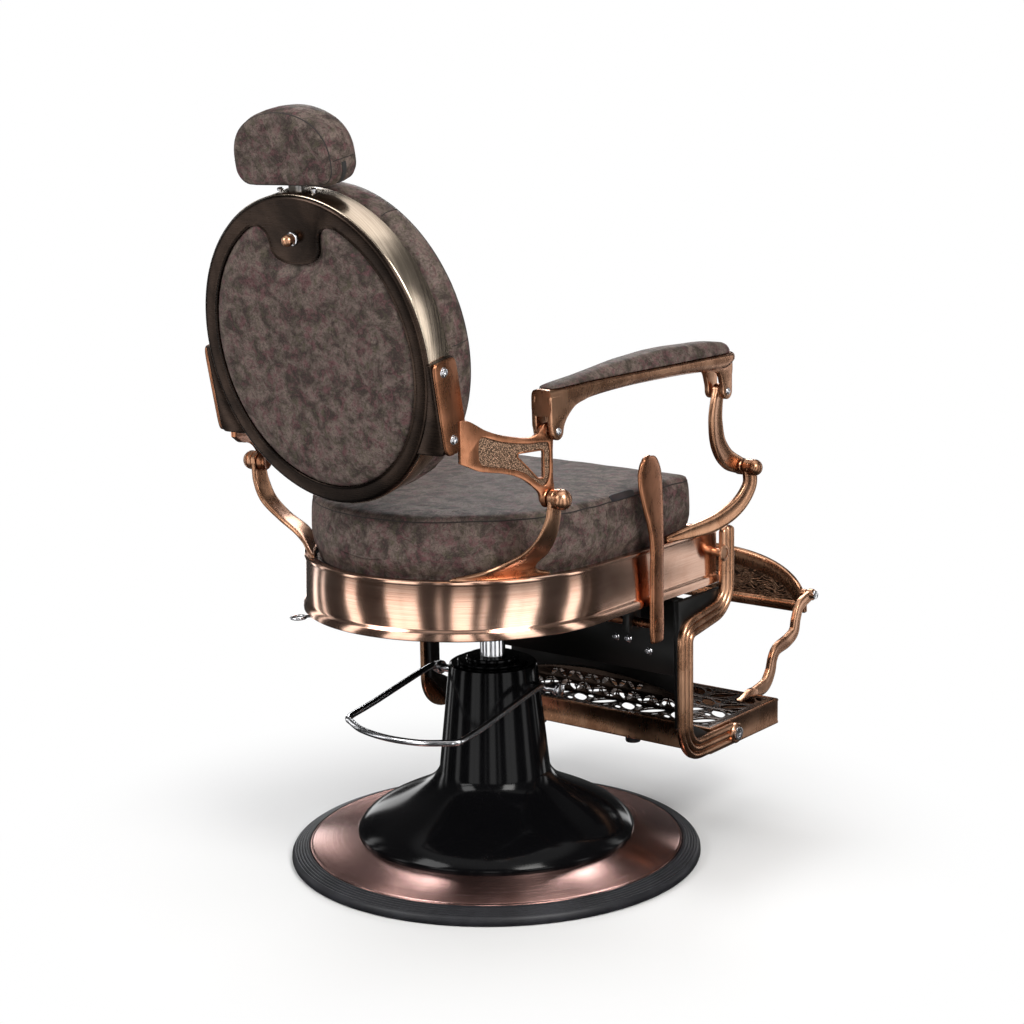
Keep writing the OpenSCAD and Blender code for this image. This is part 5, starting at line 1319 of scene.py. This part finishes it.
def armrests():
    """The arms' castings: a soft rail that widens from the rear, with a forked ear under each end."""
    low, high = box("armrest_right")
    y0, y1 = low[1], high[1]
    top = high[2]
    under = top - 0.027
    b, c = ARM_REAR, ARM_FRONT
    t = np.linspace(0, 1, 110)
    y = (y0 + 0.0015 + (y1 - y0 - 0.003) * t)[:, None]
    wide = smooth([(0, 0.020), (0.012, 0.0255), (0.04, 0.0285), (0.12, 0.029), (0.5, 0.029), (0.66, 0.0275),
                   (0.84, 0.0215), (0.95, 0.0195), (1.0, 0.0188)], 400, t)[:, None]
    deep = smooth([(0, 0.019), (0.02, 0.024), (0.05, 0.0285), (0.1, 0.0285), (0.2, 0.0255), (0.35, 0.0232),
                   (0.6, 0.0228), (0.78, 0.0262), (0.88, 0.034), (0.95, 0.04), (1.0, 0.041)], 400, t)[:, None]
    face = top - arm_drop(y)
    sx, sz = power(np.cos(around(44)), 0.42), power(np.sin(around(44)), 0.5)
    taper = np.where(sz < 0, 1 + 0.3 * sz * (1 - t[:, None] ** 4), 1.0)
    x = wide * sx * taper
    z = np.minimum(face - deep / 2 + deep / 2 * sz, face)
    rail = grid("rail", np.stack([-ARM_X + x, np.broadcast_to(y, x.shape), z], axis=-1))
    rear = through([(b[0] - 0.105, under + 0.006), (b[0] - 0.075, under - 0.001),
                    (b[0] - 0.046, under - 0.008), (b[0] - 0.026, under - 0.022),
                    (b[0] - 0.0165, b[1] + 0.008), (b[0] - 0.0135, b[1] - 0.002)], 30)
    front = through([(c[0] + 0.0135, c[1] + 0.002), (c[0] + 0.0165, c[1] + 0.014),
                     (c[0] + 0.026, under - 0.006), (c[0] + 0.05, under + 0.001),
                     (c[0] + 0.085, under + 0.0065)], 24)
    loops = [[rear, arc(b, 0.0138, np.linspace(math.pi * 1.04, 2 * math.pi, 16))[1:],
              [(y1 - 0.0025, b[1] + 0.009), (y1 - 0.0012, under + 0.012), (b[0] - 0.08, under + 0.014)]],
             [arc(c, 0.0138, np.linspace(math.pi, 2 * math.pi, 16)), front[1:],
              [(c[0] + 0.04, under + 0.012), (y0 + 0.004, under + 0.012), (y0 + 0.0035, under - 0.003),
               (c[0] - 0.0138, under - 0.012)]]]
    ears = [plate("ear", [np.vstack(loop)], 0.009, 0.0018, side_place(-ARM_X + s * 0.015))
            for s in (-1, 1) for loop in loops]
    both_sides("armrest_casting", [rail] + ears, "arm_", "casting", "armrest")
    pins = [socket_screw((-ARM_X + s * 0.0192, *p), (s, 0, 0), 0.0052, 0.0026)
            for p in (b, c) for s in (-1, 1)]
    pins.append(turned("pin", [(0.0049, -0.0185), (0.0049, 0.0185)], (-ARM_X, *b), X_AXIS, 20))
    both_sides("arm_pin_heads", pins, "arm_", "chrome", "arm_pin")


def front_links():
    """The curved links in front of the arms, with a channel down each face and an eye at each end."""
    c, d = ARM_FRONT, LINK_FOOT
    line = through([c, c + [0.007, -0.026], c + [0.009, -0.055], c + [0.0, -0.092], c + [-0.028, -0.122],
                    d], 80)
    path = np.column_stack([np.full(80, -ARM_X), line])
    width = [0.0128, 0.0160, 0.0182, 0.0186, 0.0172, 0.0142]
    parts = [sweep("bar", path, X_AXIS, channelled(0.26), 0.0058, width, 0.2)]
    parts += [hub(-ARM_X, pin, bore, r, 0.0014, -0.0061, 0.0061, 36)
              for pin, r, bore in ((c, 0.0118, 0.003), (d, 0.0146, 0.0064))]
    both_sides("front_link_casting", parts, "link_", "casting", "front_link")


# ---------- leg rest ----------

def rail_section():
    """Half round ribs on the outer face: three humps of a rectified cosine, and a flat inner face."""
    s = np.linspace(-1, 1, 66)
    ribs = 0.08 + 0.92 * np.abs(np.cos(1.5 * math.pi * s)) ** 0.62
    edge = np.clip((1 - np.abs(s)) / 0.05, 0, 1) ** 0.5
    inner = np.array([(0.8, 0.99), (1, 0.95), (1, 0), (1, -0.95), (0.8, -0.99)])
    return np.vstack([np.stack([-ribs * edge, s], axis=1), inner])


def leg_rails():
    """The ribbed rails that carry the tray: their line turns back under the seat and down to the tray."""
    low, high = box("leg_rail_right")
    t = (high[0] - low[0]) / 2
    w = 0.0185
    y, z = LEG_PIVOT
    foot = low[1:] + w
    rear = high[1] - w
    corners = [(y - 0.019, z + 0.036), (y - 0.019, z - 0.096), (rear, z - 0.118), (rear, foot[1]), foot]
    line = even(rounded(corners, [0.046, 0.026, 0.046], 14), 150)
    path = np.column_stack([np.full(150, low[0] + t), line])
    rail = sweep("rail", path, X_AXIS, rail_section(), t, w, 1.6)
    boss = turned("boss", [(0.0142, -0.001), (0.0142, 0.0012), (0.0128, 0.0022), (0.009, 0.0024),
                           (0.0086, 0.0012), (0.0003, 0.001)], (low[0], y, z), (-1, 0, 0), 36)
    bolt = np.mean(box("tray_bolts"), axis=0)[1:]
    collar = turned("collar", [(0.0098, -0.004), (0.0184, -0.004), (0.0184, 0.0006), (0.0172, 0.0022),
                               (0.0132, 0.0026), (0.0112, 0.0016), (0.0098, 0.0014)],
                    (low[0], *bolt), (-1, 0, 0), 40)
    both_sides("leg_rail_casting", [rail, boss, collar], "legrest", "casting", "leg_rail")
    for name in ("leg_side_right", "leg_side_left", "calf_panel"):
        keep(name, "satin", 0.0015)
    y = box("panel_screws")[0][1]
    z = box("calf_panel")[0][2]
    heads = [socket_screw((x, y, z + h), Y_AXIS, 0.0062, 0.0048) for x, h in (
        (-0.178, 0.052), (-0.152, 0.052), (0.152, 0.052), (0.178, 0.052), (-0.221, 0.036), (0.221, 0.036))]
    add(joined("panel_screw_heads", heads), "legrest", "chrome", "panel_screws")


def tray():
    """The foot tray: a copper frame round a pierced floor of leaves, and its bolts and buffers."""
    low, high = box("foot_tray")
    wall = 0.006
    cy = (low[1] + high[1]) / 2
    hw, hd = (high[0] - low[0]) / 2, (high[1] - low[1]) / 2
    z0, z1 = low[2], high[2]
    corners = [(0, -hd), (hw, -hd), (hw, hd), (-hw, hd), (-hw, -hd), (0, -hd)]
    outline = ring([rounded(corners, [0.004] * 4, 5)[:-1]], 320)
    rows = [raised(outline, i, z) + [0, cy, 0] for i, z in (
        (0.0, z0 + 0.001), (0.0, z0 + 0.004), (0.0008, z0 + 0.0055), (0.0008, z1 - 0.0055), (0.0, z1 - 0.004),
        (0.0, z1 - 0.001), (0.001, z1 - 0.0002), (wall - 0.0005, z1 - 0.0002), (wall, z1 - 0.001),
        (wall, z0 + 0.001), (wall - 0.001, z0), (0.001, z0))]
    add(grid("tray_frame", np.array(rows), wrap_u=True), "legrest", "casting", "foot_tray")
    grille(cy, hw - wall - 0.0006, hd - wall - 0.0006, z1)
    keep("tray_bolts", "chrome")
    keep("tray_buffers", "rubber")


def leaf(length, width, turn, at, n):
    """A pointed leaf between two arcs, turned and placed."""
    t = np.linspace(0, math.pi, n)
    p = np.stack([-np.cos(t) * length / 2, np.sin(t) ** 1.4 * width / 2], axis=1)
    c, s = math.cos(turn), math.sin(turn)
    return np.vstack([p, (p * [1, -1])[::-1][1:-1]]) @ np.array([[c, s], [-s, c]]) + at


def grille(cy, w, d, top):
    """The tray's floor: each cell has a large leaf on its diagonal and small ones beside it, and the
    diagonals alternate."""
    nx, ny = 10, 4
    dx, dy = 2 * (w - 0.008) / nx, 2 * (d - 0.008) / ny
    loops = [np.array([(-w, -d), (w, -d), (w, d), (-w, d)])]
    for i in range(nx):
        for j in range(ny):
            at = np.array([(i - (nx - 1) / 2) * dx, (j - (ny - 1) / 2) * dy])
            turn = math.radians(45 if (i + j) % 2 else -45)
            across = np.array([-math.sin(turn), math.cos(turn)])
            loops.append(leaf(0.053, 0.0225, turn, at, 18))
            for s in (-1, 1):
                loops.append(leaf(0.024, 0.0105, turn, at + s * 0.0195 * across, 10))
                loops.append(leaf(0.0075, 0.0075, 0, at + s * 0.0290 * across, 7))
    place = place_plane((0, cy, top - 0.0017), X_AXIS, Y_AXIS)
    add(plate("tray_grille", loops, 0.003, 0.0007, place), "legrest", "bronze", "foot_grille")


def heel_plates():
    """The plate of pierced leaves that stands on the tray behind the heels, with an arched top, and the
    black board in front of it."""
    low, high = box("heel_grille")
    w, h, t = high[0], high[2] - low[2], high[1] - low[1]
    fall = 0.027        # of the arch, at its ends
    x = np.linspace(-w, w, 49)
    outline = np.vstack([np.stack([x, h - fall * (x / w) ** 2], axis=1), [(w, 0), (-w, 0)]])
    holes = []
    for i in range(-10, 11):
        turn = math.radians(42 if i % 2 else -42)
        holes.append(leaf(0.0235, 0.0105, turn, (i * 0.0188, 0.0135), 12))
        holes.append(leaf(0.0052, 0.0052, 0, ((i + 0.5) * 0.0188, 0.0135), 6))
    for i in range(-6, 7):
        turn = math.radians(-38 if i % 2 else 38)
        holes.append(leaf(0.0205, 0.0088, turn, (i * 0.0195, 0.0345), 12))
    holes = [hole for hole in holes if np.all(hole[:, 1] < h - 0.0035 - fall * (hole[:, 0] / w) ** 2)
             and np.all(np.abs(hole[:, 0]) < w - 0.004)]
    obj = plate("heel_grille_plate", [outline] + holes, t - 0.0002, 0.0009,
                place_plane((0, (low[1] + high[1]) / 2, low[2] + 0.0002), X_AXIS, Z_AXIS))
    add(obj, "legrest", "bronze", "heel_grille")
    keep("heel_board", "satin", 0.001)


def board_arms():
    """The S-shaped arms that rise from the tray to the foot board, each with a leaf for its foot."""
    low, high = box("board_arm_right")
    x = (low[0] + high[0]) / 2
    y, z = BOARD_PIVOT
    y0, top = box("foot_tray")[0][1] + 0.018, box("foot_tray")[1][2]
    line = through([(y0, top + 0.006), (y + 0.172, z - 0.141), (y + 0.151, z - 0.120), (y + 0.142, z - 0.095),
                    (y + 0.127, z - 0.080), (y + 0.090, z - 0.072), (y + 0.065, z - 0.060),
                    (y + 0.057, z - 0.036), (y + 0.043, z - 0.013), (y + 0.008, z - 0.001)], 110)
    width = [0.0082, 0.0130, 0.0140, 0.0122, 0.0118, 0.0128, 0.0128, 0.0120, 0.0112, 0.0096]
    bar = sweep("bar", np.column_stack([np.full(110, x), line]), X_AXIS, channelled(0.14), 0.0058, width, 0.3)
    eye = hub(x, BOARD_PIVOT, 0.0048, 0.011, 0.0012, -0.0058, 0.0058, 32)
    leaf_line = through([(y0 - 0.016, top + 0.0003), (y0 - 0.013, top + 0.012), (y0 + 0.006, top + 0.0155),
                         (y0 + 0.028, top + 0.0085), (y0 + 0.045, top + 0.0035), (y0 + 0.046, top + 0.0003)],
                        30)
    shoe = plate("shoe", [leaf_line], 0.0115, 0.002, side_place(x))
    both_sides("board_arm_casting", [bar, eye, shoe], "legrest", "casting", "board_arm")
    keep("board_pins", "chrome", 0.001)


def foot_board():
    """The arched foot board: a rolled copper rim round a hammered panel. The rim is broader at its top."""
    low, high = box("foot_board")
    y, z = BOARD_PIVOT
    w, h, foot = high[0] - 0.001, high[2] - low[2], low[2]
    t = 0.006
    outline = arched(w, h, foot, 120, 50, 240)
    nrm = normals2(outline)
    inwards = (1 + 0.55 * np.clip(nrm[:, 1:], 0, 1)) * nrm

    def upright(p, y):
        """A flat shape stood up at y."""
        return np.stack([p[..., 0], np.broadcast_to(y, p.shape[:-1]), p[..., 1]], axis=-1)

    rows = [upright(outline - i * inwards, y + v) for i, v in (
        (0.0, -t + 0.002), (0.0, t - 0.003), (0.001, t - 0.0012), (0.004, t), (0.009, t + 0.0002),
        (0.0165, t - 0.0002), (0.0185, t - 0.0016), (0.0195, t - 0.0036), (0.022, t - 0.0048),
        (0.022, -t + 0.0002), (0.002, -t + 0.0002))]
    rim = grid("rim", np.array(rows), wrap_u=True)
    boss = [(0.0048, 0), (0.0078, 0), (0.0086, 0.001), (0.0086, 0.009), (0.0074, 0.0104), (0.0048, 0.0104)]
    bosses = [turned("boss", boss, (s * (w + 0.0008), y, z), (-s, 0, 0), 28) for s in (-1, 1)]
    add(joined("foot_board_rim", [rim] + bosses), "footboard", "casting", "foot_board")
    k = np.linspace(1, 0.03, 24)[:, None, None]
    centre = np.array([0, foot + h * 0.45])
    rear = (outline - 0.0205 * inwards - centre) * k + centre
    dome = 0.0012 * (1 - k[..., 0] ** 2)
    pts = np.concatenate([upright(rear[::-1], y - t + 0.0008), upright(rear, y + t - 0.0046 + dome)])
    add(grid("foot_board_panel", pts), "footboard", "hammered")


# ---------- stage ----------

CAMERA_AT = (-2.2165, 2.7683, 1.3169)
CAMERA_YAW, CAMERA_PITCH, CAMERA_ROLL = 0.66455, 0.19776, -0.01741      # radians
CAMERA_LENS = 74.18                                                     # mm, on 36 mm


def camera():
    """The camera behind the sitter's right shoulder, set by its yaw, pitch and roll."""
    flat = math.cos(CAMERA_PITCH)
    d = Vector((math.sin(CAMERA_YAW) * flat, -math.cos(CAMERA_YAW) * flat, -math.sin(CAMERA_PITCH)))
    level = d.cross(Vector(Z_AXIS)).normalized()
    up = level.cross(d)
    c, s = math.cos(CAMERA_ROLL), math.sin(CAMERA_ROLL)
    m = Matrix((c * level + s * up, c * up - s * level, -d)).transposed().to_4x4()
    m.translation = Vector(CAMERA_AT)
    data = bpy.data.cameras.new("camera")
    data.sensor_fit = "HORIZONTAL"
    data.sensor_width = 36
    data.lens = CAMERA_LENS
    obj = linked("camera", data)
    obj.matrix_world = m
    bpy.context.scene.camera = obj


def lamp(name, at, target, size, watts, colour=(1, 1, 1)):
    """A square soft lamp that looks at a target."""
    data = bpy.data.lights.new(name, "AREA")
    data.shape = "RECTANGLE"
    data.size, data.size_y = size
    data.energy = watts
    data.color = colour
    obj = linked(name, data)
    obj.location = at
    obj.rotation_euler = (Vector(target) - Vector(at)).to_track_quat("-Z", "Y").to_euler()


def boxes(x, y):
    """Upright bright bars round the horizon, from two sines of the bearing, broader behind the camera."""
    turn = y._do("ARCTAN2", x)
    wide = (turn * 9.0 + 0.9).sine()
    fine = (turn * 23.0 + 2.1).sine()
    behind = (turn - 2.2).cosine()
    return (wide * 0.58 + fine * 0.42 + behind * 0.3).step(0.08, 0.5)


def rays(f):
    """What a surface is seen by: 1 for the camera, and 1 for a shiny surface."""
    path = f.node("ShaderNodeLightPath", {}, {}).out.node
    return [Sock(f, path.outputs[name]) for name in ("Is Camera Ray", "Is Glossy Ray")]


def floor():
    """A wide pale floor that fades into the white background far from the chair. For shiny surfaces it glows
    as a painted reflection: dark near the chair, and farther away in bright upright bars that stand in for
    soft boxes."""
    r = 30
    obj = mesh_object("studio_floor", [(-r, -r, 0), (r, -r, 0), (r, r, 0), (-r, r, 0)], [[0, 1, 2, 3]])
    obj.location.z = -0.0006
    f = Finish("studio_floor", Roughness=0.8, Specular_IOR_Level=0.1)
    x, y, _ = f.split()
    r = (x * x + y * y) ** 0.5
    f.set(Base_Color=f.mix(f.noise(2.0), (0.86, 0.86, 0.86), (0.88, 0.88, 0.88)))
    # glow is the white background for the camera; the dark and bright emissions are a painted reflection that
    # only shiny surfaces see
    glow, dark, painted_bar_glow = [f.node("ShaderNodeEmission", {}, {"Color": (1, 1, 1, 1), "Strength": strength})
                       for strength in (1.0, 0.05, 2.2)]
    seen, shiny = rays(f)
    painted = Sock(f, f.bsdf.outputs[0])
    # painted reflection: bright bars of glow on a dark glow, farther from the chair
    painted_reflection = f.node("ShaderNodeMixShader", {}, {0: boxes(x, y) * r.step(0.7, 2.0), 1: dark, 2: painted_bar_glow})
    mixed = f.node("ShaderNodeMixShader", {}, {0: seen * r.step(0.36, 0.9), 1: painted, 2: glow})
    final = f.node("ShaderNodeMixShader", {}, {0: shiny * (1 - seen), 1: mixed, 2: painted_reflection})
    f.tree.links.new(final.out, f.tree.nodes["Material Output"].inputs["Surface"])
    obj.data.materials.append(f.mat)


def world():
    """A white background. Shiny surfaces see tall soft boxes with dark gaps between them, a dark sky and
    one light overhead."""
    w = bpy.data.worlds.new("studio")
    w.use_nodes = True
    bpy.context.scene.world = w
    f = Finish.__new__(Finish)      # only its ways to add nodes, on the world's own tree
    f.tree = w.node_tree
    x, y, z = f.split(f.node("ShaderNodeTexCoord", {}, {}, "Generated"))
    sky = z.step(0.3, 0.55)
    gloss = (0.03 + boxes(x, y) * 2.4) * (1 - sky) + sky * 0.1 + z.step(0.72, 0.86) * 0.9
    seen, shiny = rays(f)
    strength = seen + (1 - seen) * (shiny * gloss + (1 - shiny) * 0.33)
    background = f.tree.nodes["Background"].inputs
    background["Color"].default_value = (1, 1, 1, 1)
    f.tree.links.new(strength.out, background["Strength"])


def stage_pieces():
    """The camera, the floor, the background and four lamps."""
    camera()
    floor()
    world()
    lamp("key", (-2.6, 1.0, 2.6), (0, 0, 0.7), (1.2, 1.2), 80, (1.0, 0.985, 0.96))
    lamp("fill", (1.3, 2.9, 2.7), (0, 0.2, 0.95), (1.5, 1.5), 62)
    lamp("rim", (1.8, -2.4, 2.4), (0, 0, 0.8), (1.4, 1.0), 46, (0.97, 0.985, 1.0))
    lamp("top", (0, 0, 3.2), (0, 0, 0), (2.0, 2.0), 12)
    bpy.context.scene.view_settings.view_transform = "Standard"


# ---------- add-on ----------

def tint(name, description, r, g, b):
    """A colour among the add-on's settings."""
    return FloatVectorProperty(name=name, description=description, subtype="COLOR", size=3,
                               default=srgb(r, g, b))


class ChairLook(bpy.types.PropertyGroup):
    """Colours of the finishes."""
    leather_dark: tint("Dark leather", "Darker clouds of the leather", 56, 47, 43)
    leather_light: tint("Light leather", "Lighter clouds of the leather", 110, 96, 89)
    copper: tint("Brushed copper", "The band round the seat", 244, 206, 184)
    disc: tint("Turned copper", "The cover of the base", 216, 174, 166)
    copper_cast: tint("Cast copper", "Rubbed faces of the castings", 208, 160, 128)
    copper_dark: tint("Dark copper", "Clouds and recesses of the castings", 138, 96, 70)
    bronze: tint("Dark bronze", "Rear face of the back's frame", 38, 31, 27)


class PieceOperator(bpy.types.Operator):
    """Builds a group of pieces."""
    bl_options = {"REGISTER", "UNDO"}
    makers = ()

    def execute(self, context):
        for make in self.makers:
            make()
        return {"FINISHED"}


class CHAIR_OT_stage(PieceOperator):
    """Adds the floor, the lamps, the background and the camera."""
    bl_idname = "chair.stage"
    bl_label = "Stage"
    makers = (stage_pieces,)


class CHAIR_OT_base(PieceOperator):
    """Builds the rubber ring, the copper cover, the column and the pedal."""
    bl_idname = "chair.base"
    bl_label = "Base and pump"
    makers = (base_pieces, pedal)


class CHAIR_OT_seat(PieceOperator):
    """Builds the seat's band, cushion, brackets, lever and brake."""
    bl_idname = "chair.seat"
    bl_label = "Seat"
    makers = (seat_pieces, seat_cushion, rear_brackets, front_brackets, pivot_caps, lever, brake)


class CHAIR_OT_back(PieceOperator):
    """Builds the round back: its frame, cushion, rear panel and side castings."""
    bl_idname = "chair.back"
    bl_label = "Back"
    makers = (back_frame, back_cushion, rear_panel, side_brackets, knob)


class CHAIR_OT_head(PieceOperator):
    """Builds the head rest."""
    bl_idname = "chair.head"
    bl_label = "Head rest"
    makers = (head_metal, head_pillow)


class CHAIR_OT_arms(PieceOperator):
    """Builds the arms, their pads and the front links."""
    bl_idname = "chair.arms"
    bl_label = "Arms"
    makers = (armrests, arm_pads, front_links)


class CHAIR_OT_legs(PieceOperator):
    """Builds the leg rest, the tray and the foot board."""
    bl_idname = "chair.legs"
    bl_label = "Leg rest"
    makers = (leg_rails, tray, heel_plates, board_arms, foot_board, leg_pads)


OPERATORS = (CHAIR_OT_stage, CHAIR_OT_base, CHAIR_OT_seat, CHAIR_OT_back, CHAIR_OT_head, CHAIR_OT_arms,
             CHAIR_OT_legs)


class CHAIR_PT_panel(bpy.types.Panel):
    """Lists the chair's pieces and colours."""
    bl_idname = "CHAIR_PT_panel"
    bl_label = "Barber Chair"
    bl_space_type = "VIEW_3D"
    bl_region_type = "UI"
    bl_category = "Barber Chair"

    def draw(self, context):
        for op in OPERATORS:
            self.layout.operator(op.bl_idname)
        look = context.scene.chair_look
        for name in look.bl_rna.properties.keys():
            if name not in ("rna_type", "name"):
                self.layout.prop(look, name)


CLASSES = (ChairLook, *OPERATORS, CHAIR_PT_panel)


def register():
    for cls in CLASSES:
        bpy.utils.register_class(cls)
    bpy.types.Scene.chair_look = PointerProperty(type=ChairLook)


def unregister():
    del bpy.types.Scene.chair_look
    for cls in reversed(CLASSES):
        bpy.utils.unregister_class(cls)


def main():
    register()
    for op in OPERATORS:
        group, name = op.bl_idname.split(".")
        getattr(getattr(bpy.ops, group), name)()


if __name__ == "__main__":
    main()
